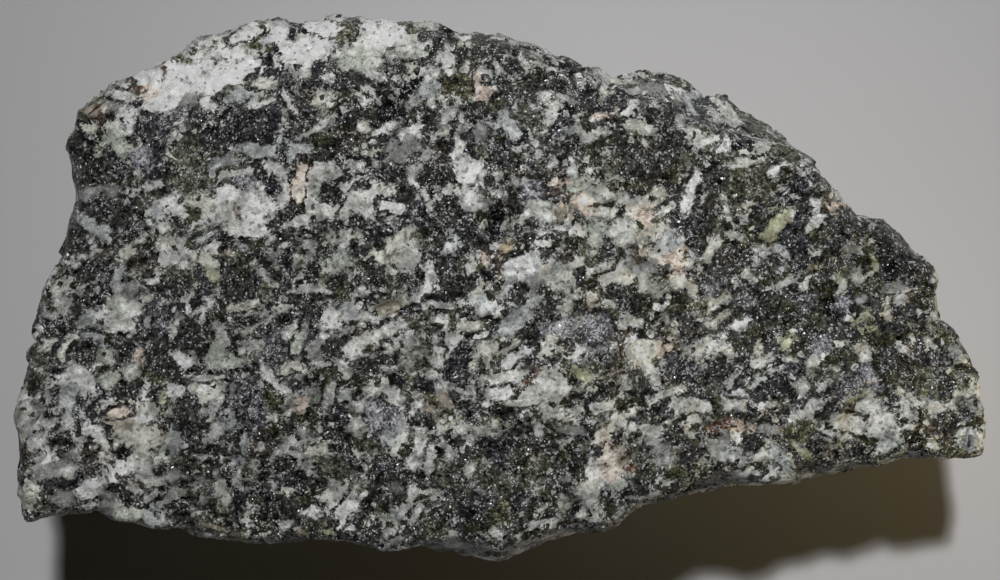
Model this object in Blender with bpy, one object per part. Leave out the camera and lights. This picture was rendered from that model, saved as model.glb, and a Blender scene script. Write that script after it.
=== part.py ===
"""A hand-sized block of diabase with broken faces, one solid piece.

The broad face looks up along +Z and the long side lies along X. The stone rests on a small flat
spot on its underside at z = 0. Lengths are in millimetres until the mesh is stored in metres.
"""

import bmesh
import bpy
import numpy as np

METRES_PER_MM = 0.001

# Edge of the broad face, read clockwise from the left lobe: across and down, in steps of READ_STEP.
READ_STEP = 0.1018
READ_CENTRE = (502.0, 287.2)
OUTLINE = (
    (66, 148), (77, 127), (81, 112), (99, 97), (113, 84), (138, 76), (171, 59), (190, 47),
    (197, 41), (222, 34), (236, 29), (256, 24), (278, 19), (305, 23), (331, 16), (360, 16),
    (367, 20), (433, 20), (460, 34), (491, 34), (537, 45), (556, 58), (598, 68), (613, 78),
    (651, 72), (673, 75), (689, 84), (702, 96), (725, 97), (742, 110), (768, 124), (788, 144),
    (810, 161), (821, 176), (842, 200), (857, 216), (868, 216), (889, 226), (905, 243),
    (913, 253), (924, 258), (934, 267), (938, 287), (934, 299), (941, 321), (953, 331),
    (967, 357), (977, 376), (978, 400), (984, 421), (983, 435), (980, 454), (942, 459),
    (911, 455), (886, 463), (850, 470), (820, 474), (795, 483), (740, 483), (695, 489),
    (665, 499), (641, 505), (618, 524), (606, 529), (575, 531), (548, 540), (500, 559),
    (475, 556), (442, 549), (420, 545), (400, 548), (370, 542), (315, 539), (246, 542),
    (198, 534), (178, 527), (155, 529), (111, 518), (102, 512), (45, 516), (33, 521),
    (26, 521), (20, 491), (21, 460), (16, 415), (22, 390), (29, 360), (28, 351), (36, 343),
    (34, 325), (41, 299), (45, 286), (57, 268), (65, 239), (76, 200), (75, 179), (72, 164),
)

# The outline is one distance in every direction from this point, so walls are found from it.
CENTRE = (-2.0, -1.2)

# Edge of the underside, in millimetres, standing in from the broad face and undercut at both ends.
UNDER_OUTLINE = (
    (44.0, -13.0), (39.5, -2.5), (33.0, 7.0), (22.5, 15.5), (8.0, 20.5), (-9.0, 24.2),
    (-26.0, 22.3), (-38.5, 13.0), (-42.0, 2.0), (-44.5, -10.0), (-40.0, -18.0), (-28.0, -22.5),
    (-11.0, -22.0), (2.0, -24.2), (13.5, -19.0), (31.0, -15.5),
)
UNDER_HEIGHT = 2.5

# The readings were taken from this far above the rim of the broad face, so that what stands higher
# looks a little larger. The rim shows a little above the widest level.
SEEN_FROM = 260.0
RIM_HEIGHT = 18.0
RIM_ABOVE_WIDEST = 0.3
FACE_HEIGHT = 26.5

# Wall shape by direction: degrees round from +X, height of the widest level, then how many
# degrees the wall leans in above that level.
WALL = (
    (0, 17.5, 4),
    (20, 16.5, 5),
    (33, 12.5, 19),
    (50, 13.0, 17),
    (68, 17.0, 6),
    (90, 18.0, 5),
    (125, 18.0, 6),
    (160, 18.0, 6),
    (176, 18.5, 16),
    (190, 20.0, 9),
    (208, 21.0, 4),
    (225, 20.5, 3),
    (250, 19.5, 4),
    (270, 18.5, 6),
    (300, 18.0, 4),
    (325, 17.0, 3),
    (345, 18.0, 3),
)

# Broken faces: a point on the face, the direction it dips towards and its dip, in degrees.
TOP_FACES = (
    (-5, 0, 27.4, 280, 2),
    (12, 0, 26.9, 350, 9),
    (36, 0, 23.3, 5, 14),
    (-25, 0, 27.0, 175, 8),
    (10, -14, 26.4, 300, 14),
    (-20, -17, 26.6, 250, 12),
    (25, 16, 24.6, 55, 22),
    (5, 20, 27.2, 85, 15),
    (-31, 17.2, 26.2, 105, 36),
    (-12, 22.9, 27.6, 92, 34),
)
UNDER_FACES = (
    (-8, -2, -0.1, 190, 6),
    (6, 2, -0.1, 345, 8),
    (0, 4, 0.0, 85, 10),
    (0, -4, -0.1, 268, 9),
    (-37, 8, 3.0, 160, 38),
    (36, -9, 4.6, 325, 40),
    (30, 11, 4.6, 48, 44),
    (-34, -17, 4.0, 236, 42),
    (7, -22, 3.6, 285, 41),
    (-12, 22, 3.4, 99, 55),
)

# Rounding of the edges between faces.
EDGE_BLEND = 1.1
WALL_BLEND = 0.8

# Below 1 the fine shape of the outline fades quickly on the way down the wall.
WALL_FADE = 0.8

# Slow bends that keep the faces from being flat: size of a bend, then how far it moves the face.
BENDS = ((22.0, 1.7), (9.0, 0.65))

# Flat facets of many sizes: size of a facet, then how far it stands in or out.
FACETS = ((7.5, 0.75), (3.6, 0.42))
WALL_FACETS = ((11.0, 1.3), (4.8, 0.65))
FACET_SLANT = ((1.0, 0.35, -0.2), (-0.3, 1.0, 0.25), (0.15, -0.3, 1.0))

# Ledges run across the broad face, rising to the right.
LEDGE_ANGLE = 22.0
LEDGE_PITCH = 8.5
LEDGE_HEIGHT = 0.75
WALL_LEDGE_PITCH = 3.4
WALL_LEDGE_HEIGHT = 0.45

# Pits on the broad face: across and down as for the outline, half sizes, turn in degrees, depth.
PITS = (
    (392, 112, 1.4, 1.6, 10, 1.9),
    (497, 228, 1.2, 1.8, 8, 2.2),
    (405, 305, 0.9, 0.7, 0, 0.8),
    (560, 230, 0.9, 0.7, 20, 0.8),
    (405, 185, 2.2, 1.6, 0, 0.8),
    (80, 358, 1.7, 1.2, 0, 0.7),
    (125, 452, 1.0, 1.0, 0, 0.7),
    (578, 508, 0.9, 0.8, 0, 0.8),
)

# How finely the block is first divided, and how many triangles it keeps.
DIVISIONS = 88
TRIANGLES_KEPT = 9300

TOP_RIM = 0.965
UNDER_RIM = 0.76
INNER_RIM = 0.70
MIDDLE_HEIGHT = 12.0
SEARCH_REACH = 45.0
SEARCH_STEPS = 18

STONE_COLOUR = (0.125, 0.125, 0.115, 1.0)
STONE_ROUGHNESS = 0.6


def clear_scene():
    """Remove every object the new file came with."""
    for item in list(bpy.data.objects):
        bpy.data.objects.remove(item, do_unlink=True)


def lattice_value(ix, iy, iz, seed):
    """A repeatable value from -1 to 1 for each corner of a cubic lattice."""
    mixed = ix.astype(np.uint32) * np.uint32(73856093)
    mixed ^= iy.astype(np.uint32) * np.uint32(19349663)
    mixed ^= iz.astype(np.uint32) * np.uint32(83492791)
    mixed ^= np.uint32((seed * 2654435761) % 4294967296)
    mixed = (mixed ^ (mixed >> np.uint32(13))) * np.uint32(1274126177)
    mixed = (mixed ^ (mixed >> np.uint32(15))) * np.uint32(2246822519)
    mixed ^= mixed >> np.uint32(16)
    return mixed.astype(np.float64) / 2147483648.0 - 1.0


def noise(points, cell, seed):
    """Smooth lattice noise from -1 to 1 with bumps about one cell wide."""
    scaled = points / cell + 1000.0
    base = np.floor(scaled)
    part = scaled - base
    ease = part * part * part * (part * (part * 6.0 - 15.0) + 10.0)
    base = base.astype(np.int64)
    total = np.zeros(len(points))
    for dx in (0, 1):
        wx = ease[:, 0] if dx else 1.0 - ease[:, 0]
        for dy in (0, 1):
            wy = ease[:, 1] if dy else 1.0 - ease[:, 1]
            for dz in (0, 1):
                wz = ease[:, 2] if dz else 1.0 - ease[:, 2]
                corner = lattice_value(base[:, 0] + dx, base[:, 1] + dy, base[:, 2] + dz, seed)
                total += wx * wy * wz * corner
    return total


def faceted_noise(points, cell, seed):
    """Noise from -1 to 1 made of flat pieces about one cell wide, with creases between them.

    Each lattice cube is split into six by the order of the point's three fractions, and the values
    at the four corners of its piece are joined in straight lines.
    """
    scaled = points @ np.array(FACET_SLANT) / cell + 1000.0
    corner = np.floor(scaled)
    part = scaled - corner
    corner = corner.astype(np.int64)
    order = np.argsort(-part, axis=1)
    part = np.column_stack([np.take_along_axis(part, order, axis=1), np.zeros(len(points))])
    total = (1.0 - part[:, 0]) * lattice_value(corner[:, 0], corner[:, 1], corner[:, 2], seed)
    for k in range(3):
        corner[np.arange(len(points)), order[:, k]] += 1
        weight = part[:, k] - part[:, k + 1]
        total += weight * lattice_value(corner[:, 0], corner[:, 1], corner[:, 2], seed)
    return total


def bend(points):
    """Points pushed about by slow noise, so that a flat face read at them comes out bent."""
    moved = points.copy()
    for seed, (cell, reach) in enumerate(BENDS):
        for axis in range(3):
            moved[:, axis] += reach * noise(points, cell, 11 + 10 * seed + axis)
    return moved


def read_to_mm(across, down):
    return (across - READ_CENTRE[0]) * READ_STEP, (READ_CENTRE[1] - down) * READ_STEP


def seen_size(height):
    """Real size over the size read, for what lies at this height."""
    return (SEEN_FROM + RIM_HEIGHT - height) / SEEN_FROM


def widest_level(direction):
    table = np.array(WALL, float)
    return np.interp(direction, np.radians(table[:, 0]), table[:, 1], period=2 * np.pi)


def distance_by_direction(x, y):
    """Directions round the centre, a closed line's distance there, and how squarely it is met."""
    x = x - CENTRE[0]
    y = y - CENTRE[1]
    steps = np.linspace(-np.pi, np.pi, 2881)
    along = np.arctan2(y, x)
    order = np.argsort(along)
    x, y, along = x[order], y[order], along[order]
    x = np.concatenate([x[-1:], x, x[:1]])
    y = np.concatenate([y[-1:], y, y[:1]])
    along = np.concatenate([along[-1:] - 2 * np.pi, along, along[:1] + 2 * np.pi])
    after = np.clip(np.searchsorted(along, steps), 1, len(along) - 1)
    ax, ay, bx, by = x[after - 1], y[after - 1], x[after], y[after]
    ex, ey = bx - ax, by - ay
    cos, sin = np.cos(steps), np.sin(steps)
    distance = (ax * ey - ay * ex) / (cos * ey - sin * ex)
    square = np.abs(cos * ey - sin * ex) / np.hypot(ex, ey)
    spread = np.hanning(61)
    spread /= spread.sum()
    wrapped = np.concatenate([square[-31:-1], square, square[1:31]])
    return steps, distance, np.convolve(wrapped, spread, "valid")


STEPS, DISTANCES, SQUARENESS = distance_by_direction(*read_to_mm(*np.array(OUTLINE, float).T))
DISTANCES *= seen_size(widest_level(STEPS) + RIM_ABOVE_WIDEST)
UNDER_DISTANCES = distance_by_direction(*np.array(UNDER_OUTLINE).T)[1]


def outline_distance(direction):
    return np.interp(direction, STEPS, DISTANCES, period=2 * np.pi)


def smooth_max(a, b, blend):
    """The larger of two values, rounded over where they are close."""
    near = np.maximum(blend - np.abs(a - b), 0.0) / blend
    return np.maximum(a, b) + near * near * blend * 0.25


def soft_ramp(value, width):
    """Zero below zero, and above it a slope that steepens to one in one."""
    return np.maximum(0.5 * (value + np.sqrt(value * value + width * width)) - 0.5 * width, 0.0)


def wall(points):
    """How far each point is outside the walls, which run from one outline down to the other."""
    across = points[:, 0] - CENTRE[0]
    up = points[:, 1] - CENTRE[1]
    direction = np.arctan2(up, across)
    table = np.array(WALL, float)
    turn = np.radians(table[:, 0])
    widest = widest_level(direction)
    above = np.tan(np.radians(np.interp(direction, turn, table[:, 2], period=2 * np.pi)))
    square = np.interp(direction, STEPS, SQUARENESS, period=2 * np.pi)
    height = points[:, 2] - widest
    share = soft_ramp(-height, 1.2) / (widest - UNDER_HEIGHT)
    share = share * np.clip(1.0 + 0.55 * noise(points, 15.0, 45) * (1.0 - share), 0.2, 2.0)
    share = np.power(share, WALL_FADE)
    edge = outline_distance(direction)
    under_edge = np.interp(direction, STEPS, UNDER_DISTANCES, period=2 * np.pi)
    outside = (np.hypot(across, up) - edge - (under_edge - edge) * share) * square
    lean = above * soft_ramp(height, 1.5)
    away = 1.0 - np.exp(-np.square(height / 4.5))
    rough = np.zeros(len(points))
    for seed, (cell, reach) in enumerate(WALL_FACETS):
        rough += reach * (faceted_noise(points, cell, 41 + seed) + 0.3)
    step = height / WALL_LEDGE_PITCH + 0.9 * noise(points, 9.0, 47)
    step -= np.floor(step)
    rough += WALL_LEDGE_HEIGHT * (step - np.clip((step - 0.75) / 0.25, 0.0, 1.0))
    return outside + lean + rough * away


def broken_faces(points, faces, upward):
    """How far each point is outside a set of broken faces, with rounded edges between them."""
    worst = None
    for x, y, z, towards, dip in faces:
        lean = np.sin(np.radians(dip))
        normal = np.array([
            lean * np.cos(np.radians(towards)),
            lean * np.sin(np.radians(towards)),
            upward * np.cos(np.radians(dip)),
        ])
        outside = (points - np.array([x, y, z], float)) @ normal
        worst = outside if worst is None else smooth_max(worst, outside, EDGE_BLEND)
    return worst


def ledges(points):
    """Low steps across the broad face, higher in some parts than in others."""
    turn = np.radians(LEDGE_ANGLE)
    across = points[:, 1] * np.cos(turn) - points[:, 0] * np.sin(turn)
    across = across / LEDGE_PITCH + 0.55 * noise(points, 13.0, 61) + 0.15 * noise(points, 5.0, 62)
    step = across - np.floor(across)
    shape = step - np.clip((step - 0.8) / 0.2, 0.0, 1.0)
    strength = np.clip(0.55 + 0.9 * noise(points, 17.0, 63), 0.0, 1.0)
    return LEDGE_HEIGHT * strength * shape


def pits(points):
    """Depth of the pits at each point."""
    depth = np.zeros(len(points))
    for across, down, half_long, half_tall, turn, deep in PITS:
        x, y = read_to_mm(across, down)
        dx = points[:, 0] - x * seen_size(FACE_HEIGHT)
        dy = points[:, 1] - y * seen_size(FACE_HEIGHT)
        cos, sin = np.cos(np.radians(turn)), np.sin(np.radians(turn))
        along = (dx * cos + dy * sin) / half_long
        beside = (dy * cos - dx * sin) / half_tall
        depth += deep * np.exp(-np.power(along * along + beside * beside, 1.5))
    return depth


def form(points):
    """Negative inside the stone, positive outside, about a distance in millimetres."""
    bent = bend(points)
    top = broken_faces(bent, TOP_FACES, 1.0)
    under = broken_faces(bent, UNDER_FACES, -1.0)
    upper = np.clip((points[:, 2] - MIDDLE_HEIGHT) / 8.0, 0.0, 1.0)
    top = top + upper * (ledges(points) + pits(points))
    rough = np.zeros(len(points))
    for seed, (cell, reach) in enumerate(FACETS):
        rough += reach * faceted_noise(bent, cell, 51 + seed)
    faces = smooth_max(top + rough, under + rough, EDGE_BLEND)
    return smooth_max(faces, wall(points), WALL_BLEND)


def onto_stone(start, end):
    """Where each line from inside the stone to outside it meets the surface."""
    inside = np.zeros(len(start))
    outside = np.ones(len(start))
    for _ in range(SEARCH_STEPS):
        middle = 0.5 * (inside + outside)
        value = form(start + (end - start) * middle[:, None])
        inside = np.where(value < 0.0, middle, inside)
        outside = np.where(value < 0.0, outside, middle)
    return start + (end - start) * (0.5 * (inside + outside))[:, None]


def plan_point(direction, share):
    """A point at this share of the way from the centre to the outline."""
    reach = outline_distance(direction) * share
    return CENTRE[0] + reach * np.cos(direction), CENTRE[1] + reach * np.sin(direction)


def cap(direction, share, end_height):
    """Points on the broad face or the underside, found straight up or down."""
    x, y = plan_point(direction, share)
    start = np.column_stack([x, y, np.full(len(x), MIDDLE_HEIGHT)])
    end = np.column_stack([x, y, np.full(len(x), end_height)])
    return onto_stone(start, end)


def side(direction, down):
    """Points on the walls, found by lines that fan out from a ring inside the stone."""
    x, y = plan_point(direction, INNER_RIM)
    start = np.column_stack([x, y, np.full(len(x), MIDDLE_HEIGHT)])
    top = cap(direction, np.full(len(x), TOP_RIM), SEARCH_REACH)
    under = cap(direction, np.full(len(x), UNDER_RIM), -SEARCH_REACH)
    reach = outline_distance(direction)
    top_turn = np.arctan2(top[:, 2] - MIDDLE_HEIGHT, reach * (TOP_RIM - INNER_RIM))
    under_turn = np.arctan2(under[:, 2] - MIDDLE_HEIGHT, reach * (UNDER_RIM - INNER_RIM))
    turn = top_turn + (under_turn - top_turn) * down
    way = np.column_stack([
        np.cos(turn) * np.cos(direction),
        np.cos(turn) * np.sin(direction),
        np.sin(turn),
    ])
    return onto_stone(start, start + SEARCH_REACH * way)


def place(cube):
    """Carry points of a cube from -1 to 1 onto the stone: top, underside and four walls."""
    a, b, c = cube[:, 0], cube[:, 1], cube[:, 2]
    disc_x = a * np.sqrt(1.0 - 0.5 * b * b)
    disc_y = b * np.sqrt(1.0 - 0.5 * a * a)
    share = np.hypot(disc_x, disc_y)
    direction = np.arctan2(disc_y * 27.5, disc_x * 49.0)
    placed = np.empty_like(cube)
    is_top = c > 0.999
    is_under = c < -0.999
    is_side = ~(is_top | is_under)
    placed[is_top] = cap(direction[is_top], share[is_top] * TOP_RIM, SEARCH_REACH)
    placed[is_under] = cap(direction[is_under], share[is_under] * UNDER_RIM, -SEARCH_REACH)
    placed[is_side] = side(direction[is_side], 0.5 * (1.0 - c[is_side]))
    return placed


def shape_block(mesh):
    """Start from a divided cube and move its points onto the stone."""
    block = bmesh.new()
    bmesh.ops.create_cube(block, size=2.0)
    bmesh.ops.subdivide_edges(block, edges=block.edges[:], cuts=DIVISIONS - 1, use_grid_fill=True)
    cube = np.array([point.co[:] for point in block.verts])
    for point, position in zip(block.verts, place(cube) * METRES_PER_MM):
        point.co = position
    bmesh.ops.triangulate(block, faces=block.faces[:], quad_method="SHORT_EDGE")
    block.to_mesh(mesh)
    block.free()


def stone_material():
    """Dark greenish-grey stone with pale crystals reads as a middle grey from a step away."""
    material = bpy.data.materials.new("diabase")
    material.use_nodes = True
    shader = material.node_tree.nodes["Principled BSDF"]
    shader.inputs["Base Color"].default_value = STONE_COLOUR
    shader.inputs["Roughness"].default_value = STONE_ROUGHNESS
    shader.inputs["Metallic"].default_value = 0.0
    return material


def add_stone(collection):
    mesh = bpy.data.meshes.new("stone")
    shape_block(mesh)
    stone = bpy.data.objects.new("stone", mesh)
    collection.objects.link(stone)
    mesh.materials.append(stone_material())
    return stone


def add_bench(collection):
    """The block of air below z = 0 that is cut away to leave the flat resting spot."""
    mesh = bpy.data.meshes.new("bench")
    block = bmesh.new()
    bmesh.ops.create_cube(block, size=0.2)
    bmesh.ops.translate(block, verts=block.verts[:], vec=(0.0, 0.0, -0.1))
    block.to_mesh(mesh)
    block.free()
    bench = bpy.data.objects.new("bench", mesh)
    bench.display_type = "WIRE"
    bench.hide_render = True
    collection.objects.link(bench)
    return bench


def thin_out(stone):
    """Keep triangles where the stone has edges, ledges and pits, and fewer on its calm parts."""
    thinner = stone.modifiers.new("thin out", "DECIMATE")
    thinner.decimate_type = "COLLAPSE"
    thinner.ratio = TRIANGLES_KEPT / len(stone.data.polygons)


def cut_resting_spot(stone, bench):
    cut = stone.modifiers.new("resting spot", "BOOLEAN")
    cut.operation = "DIFFERENCE"
    cut.solver = "EXACT"
    cut.object = bench


def main():
    clear_scene()
    object_collection = bpy.data.collections.new("diabase stone")
    cutter_collection = bpy.data.collections.new("cutters")
    bpy.context.scene.collection.children.link(object_collection)
    bpy.context.scene.collection.children.link(cutter_collection)
    stone = add_stone(object_collection)
    thin_out(stone)
    cut_resting_spot(stone, add_bench(cutter_collection))


main()
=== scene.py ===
"""A hand-sized block of diabase lying on pale paper, seen from straight above.

Lengths are in millimetres inside the script, and in metres once they are in a mesh. Places on the
broad face are read across and down, in steps of about a tenth of a millimetre.
"""

import math

import bpy
import numpy as np
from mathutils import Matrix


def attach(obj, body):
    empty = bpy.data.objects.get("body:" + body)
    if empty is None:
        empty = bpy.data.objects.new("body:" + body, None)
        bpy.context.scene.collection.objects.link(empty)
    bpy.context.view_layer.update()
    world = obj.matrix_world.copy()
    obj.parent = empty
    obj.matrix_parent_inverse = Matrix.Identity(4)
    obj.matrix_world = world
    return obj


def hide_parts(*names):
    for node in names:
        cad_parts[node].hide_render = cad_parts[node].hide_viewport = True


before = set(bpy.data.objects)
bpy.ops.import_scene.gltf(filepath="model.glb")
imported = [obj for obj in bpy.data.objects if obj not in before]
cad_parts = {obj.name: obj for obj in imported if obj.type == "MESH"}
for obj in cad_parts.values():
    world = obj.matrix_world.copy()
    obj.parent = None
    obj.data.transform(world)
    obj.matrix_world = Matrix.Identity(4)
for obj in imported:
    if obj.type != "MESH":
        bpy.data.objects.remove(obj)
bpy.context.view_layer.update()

METRES_PER_MM = 0.001

# Values shared with the solid.

READ_STEP = 0.1018
READ_CENTRE = (502.0, 287.2)
OUTLINE = (
    (66, 148), (77, 127), (81, 112), (99, 97), (113, 84), (138, 76), (171, 59), (190, 47),
    (197, 41), (222, 34), (236, 29), (256, 24), (278, 19), (305, 23), (331, 16), (360, 16),
    (367, 20), (433, 20), (460, 34), (491, 34), (537, 45), (556, 58), (598, 68), (613, 78),
    (651, 72), (673, 75), (689, 84), (702, 96), (725, 97), (742, 110), (768, 124), (788, 144),
    (810, 161), (821, 176), (842, 200), (857, 216), (868, 216), (889, 226), (905, 243),
    (913, 253), (924, 258), (934, 267), (938, 287), (934, 299), (941, 321), (953, 331),
    (967, 357), (977, 376), (978, 400), (984, 421), (983, 435), (980, 454), (942, 459),
    (911, 455), (886, 463), (850, 470), (820, 474), (795, 483), (740, 483), (695, 489),
    (665, 499), (641, 505), (618, 524), (606, 529), (575, 531), (548, 540), (500, 559),
    (475, 556), (442, 549), (420, 545), (400, 548), (370, 542), (315, 539), (246, 542),
    (198, 534), (178, 527), (155, 529), (111, 518), (102, 512), (45, 516), (33, 521),
    (26, 521), (20, 491), (21, 460), (16, 415), (22, 390), (29, 360), (28, 351), (36, 343),
    (34, 325), (41, 299), (45, 286), (57, 268), (65, 239), (76, 200), (75, 179), (72, 164),
)

# The outline is one distance in every direction from this point, so walls are found from it.
CENTRE = (-2.0, -1.2)

# Edge of the underside, in millimetres, standing in from the broad face and undercut at both ends.
UNDER_OUTLINE = (
    (44.0, -13.0), (39.5, -2.5), (33.0, 7.0), (22.5, 15.5), (8.0, 20.5), (-9.0, 24.2),
    (-26.0, 22.3), (-38.5, 13.0), (-42.0, 2.0), (-44.5, -10.0), (-40.0, -18.0), (-28.0, -22.5),
    (-11.0, -22.0), (2.0, -24.2), (13.5, -19.0), (31.0, -15.5),
)
UNDER_HEIGHT = 2.5

# The readings were taken from this far above the rim of the broad face, so that what stands higher
# looks a little larger. The rim shows a little above the widest level.
SEEN_FROM = 260.0
RIM_HEIGHT = 18.0
RIM_ABOVE_WIDEST = 0.3
FACE_HEIGHT = 26.5

# Wall shape by direction: degrees round from +X, height of the widest level, then how many
# degrees the wall leans in above that level.
WALL = (
    (0, 17.5, 4),
    (20, 16.5, 5),
    (33, 12.5, 19),
    (50, 13.0, 17),
    (68, 17.0, 6),
    (90, 18.0, 5),
    (125, 18.0, 6),
    (160, 18.0, 6),
    (176, 18.5, 16),
    (190, 20.0, 9),
    (208, 21.0, 4),
    (225, 20.5, 3),
    (250, 19.5, 4),
    (270, 18.5, 6),
    (300, 18.0, 4),
    (325, 17.0, 3),
    (345, 18.0, 3),
)

# Broken faces: a point on the face, the direction it dips towards and its dip, in degrees.
TOP_FACES = (
    (-5, 0, 27.4, 280, 2),
    (12, 0, 26.9, 350, 9),
    (36, 0, 23.3, 5, 14),
    (-25, 0, 27.0, 175, 8),
    (10, -14, 26.4, 300, 14),
    (-20, -17, 26.6, 250, 12),
    (25, 16, 24.6, 55, 22),
    (5, 20, 27.2, 85, 15),
    (-31, 17.2, 26.2, 105, 36),
    (-12, 22.9, 27.6, 92, 34),
)
UNDER_FACES = (
    (-8, -2, -0.1, 190, 6),
    (6, 2, -0.1, 345, 8),
    (0, 4, 0.0, 85, 10),
    (0, -4, -0.1, 268, 9),
    (-37, 8, 3.0, 160, 38),
    (36, -9, 4.6, 325, 40),
    (30, 11, 4.6, 48, 44),
    (-34, -17, 4.0, 236, 42),
    (7, -22, 3.6, 285, 41),
    (-12, 22, 3.4, 99, 55),
)

# Rounding of the edges between faces.
EDGE_BLEND = 1.1
WALL_BLEND = 0.8

# Below 1 the fine shape of the outline fades quickly on the way down the wall.
WALL_FADE = 0.8

# Slow bends that keep the faces from being flat: size of a bend, then how far it moves the face.
BENDS = ((22.0, 1.7), (9.0, 0.65))

# Flat facets of many sizes: size of a facet, then how far it stands in or out.
FACETS = ((7.5, 0.75), (3.6, 0.42))
WALL_FACETS = ((11.0, 1.3), (4.8, 0.65))
FACET_SLANT = ((1.0, 0.35, -0.2), (-0.3, 1.0, 0.25), (0.15, -0.3, 1.0))

# Ledges run across the broad face, rising to the right.
LEDGE_ANGLE = 22.0
LEDGE_PITCH = 8.5
LEDGE_HEIGHT = 0.75
WALL_LEDGE_PITCH = 3.4
WALL_LEDGE_HEIGHT = 0.45

# Pits on the broad face: across and down as for the outline, half sizes, turn in degrees, depth.
PITS = (
    (392, 112, 1.4, 1.6, 10, 1.9),
    (497, 228, 1.2, 1.8, 8, 2.2),
    (405, 305, 0.9, 0.7, 0, 0.8),
    (560, 230, 0.9, 0.7, 20, 0.8),
    (405, 185, 2.2, 1.6, 0, 0.8),
    (80, 358, 1.7, 1.2, 0, 0.7),
    (125, 452, 1.0, 1.0, 0, 0.7),
    (578, 508, 0.9, 0.8, 0, 0.8),
)

# Shares of the outline: the rims of the broad face and the underside, and the ring inside the
# stone that the walls are found from. Then where the search for the surface starts, and how far
# and how finely it goes.
TOP_RIM = 0.965
UNDER_RIM = 0.76
INNER_RIM = 0.70
MIDDLE_HEIGHT = 12.0
SEARCH_REACH = 45.0
SEARCH_STEPS = 18


def lattice_value(ix, iy, iz, seed):
    """A repeatable value from -1 to 1 for each corner of a cubic lattice."""
    mixed = ix.astype(np.uint32) * np.uint32(73856093)
    mixed ^= iy.astype(np.uint32) * np.uint32(19349663)
    mixed ^= iz.astype(np.uint32) * np.uint32(83492791)
    mixed ^= np.uint32((seed * 2654435761) % 4294967296)
    mixed = (mixed ^ (mixed >> np.uint32(13))) * np.uint32(1274126177)
    mixed = (mixed ^ (mixed >> np.uint32(15))) * np.uint32(2246822519)
    mixed ^= mixed >> np.uint32(16)
    return mixed.astype(np.float64) / 2147483648.0 - 1.0


def noise(points, cell, seed):
    """Smooth lattice noise from -1 to 1 with bumps about one cell wide."""
    scaled = points / cell + 1000.0
    base = np.floor(scaled)
    part = scaled - base
    ease = part * part * part * (part * (part * 6.0 - 15.0) + 10.0)
    base = base.astype(np.int64)
    total = np.zeros(len(points))
    for dx in (0, 1):
        wx = ease[:, 0] if dx else 1.0 - ease[:, 0]
        for dy in (0, 1):
            wy = ease[:, 1] if dy else 1.0 - ease[:, 1]
            for dz in (0, 1):
                wz = ease[:, 2] if dz else 1.0 - ease[:, 2]
                corner = lattice_value(base[:, 0] + dx, base[:, 1] + dy, base[:, 2] + dz, seed)
                total += wx * wy * wz * corner
    return total


def faceted_noise(points, cell, seed):
    """Noise from -1 to 1 made of flat pieces about one cell wide, with creases between them.

    Each lattice cube is split into six by the order of the point's three fractions, and the values
    at the four corners of its piece are joined in straight lines.
    """
    scaled = points @ np.array(FACET_SLANT) / cell + 1000.0
    corner = np.floor(scaled)
    part = scaled - corner
    corner = corner.astype(np.int64)
    order = np.argsort(-part, axis=1)
    part = np.column_stack([np.take_along_axis(part, order, axis=1), np.zeros(len(points))])
    total = (1.0 - part[:, 0]) * lattice_value(corner[:, 0], corner[:, 1], corner[:, 2], seed)
    for k in range(3):
        corner[np.arange(len(points)), order[:, k]] += 1
        weight = part[:, k] - part[:, k + 1]
        total += weight * lattice_value(corner[:, 0], corner[:, 1], corner[:, 2], seed)
    return total


def bend(points):
    """Points pushed about by slow noise, so that a flat face read at them comes out bent."""
    moved = points.copy()
    for seed, (cell, reach) in enumerate(BENDS):
        for axis in range(3):
            moved[:, axis] += reach * noise(points, cell, 11 + 10 * seed + axis)
    return moved


def read_to_mm(across, down):
    return (across - READ_CENTRE[0]) * READ_STEP, (READ_CENTRE[1] - down) * READ_STEP


def seen_size(height):
    """Real size over the size read, for what lies at this height."""
    return (SEEN_FROM + RIM_HEIGHT - height) / SEEN_FROM


def widest_level(direction):
    table = np.array(WALL, float)
    return np.interp(direction, np.radians(table[:, 0]), table[:, 1], period=2 * np.pi)


def distance_by_direction(x, y):
    """Directions round the centre, a closed line's distance there, and how squarely it is met."""
    x = x - CENTRE[0]
    y = y - CENTRE[1]
    steps = np.linspace(-np.pi, np.pi, 2881)
    along = np.arctan2(y, x)
    order = np.argsort(along)
    x, y, along = x[order], y[order], along[order]
    x = np.concatenate([x[-1:], x, x[:1]])
    y = np.concatenate([y[-1:], y, y[:1]])
    along = np.concatenate([along[-1:] - 2 * np.pi, along, along[:1] + 2 * np.pi])
    after = np.clip(np.searchsorted(along, steps), 1, len(along) - 1)
    ax, ay, bx, by = x[after - 1], y[after - 1], x[after], y[after]
    ex, ey = bx - ax, by - ay
    cos, sin = np.cos(steps), np.sin(steps)
    distance = (ax * ey - ay * ex) / (cos * ey - sin * ex)
    square = np.abs(cos * ey - sin * ex) / np.hypot(ex, ey)
    spread = np.hanning(61)
    spread /= spread.sum()
    wrapped = np.concatenate([square[-31:-1], square, square[1:31]])
    return steps, distance, np.convolve(wrapped, spread, "valid")


STEPS, DISTANCES, SQUARENESS = distance_by_direction(*read_to_mm(*np.array(OUTLINE, float).T))
DISTANCES *= seen_size(widest_level(STEPS) + RIM_ABOVE_WIDEST)
UNDER_DISTANCES = distance_by_direction(*np.array(UNDER_OUTLINE).T)[1]


def outline_distance(direction):
    return np.interp(direction, STEPS, DISTANCES, period=2 * np.pi)


def smooth_max(a, b, blend):
    """The larger of two values, rounded over where they are close."""
    near = np.maximum(blend - np.abs(a - b), 0.0) / blend
    return np.maximum(a, b) + near * near * blend * 0.25


def soft_ramp(value, width):
    """Zero below zero, and above it a slope that steepens to one in one."""
    return np.maximum(0.5 * (value + np.sqrt(value * value + width * width)) - 0.5 * width, 0.0)


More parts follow.
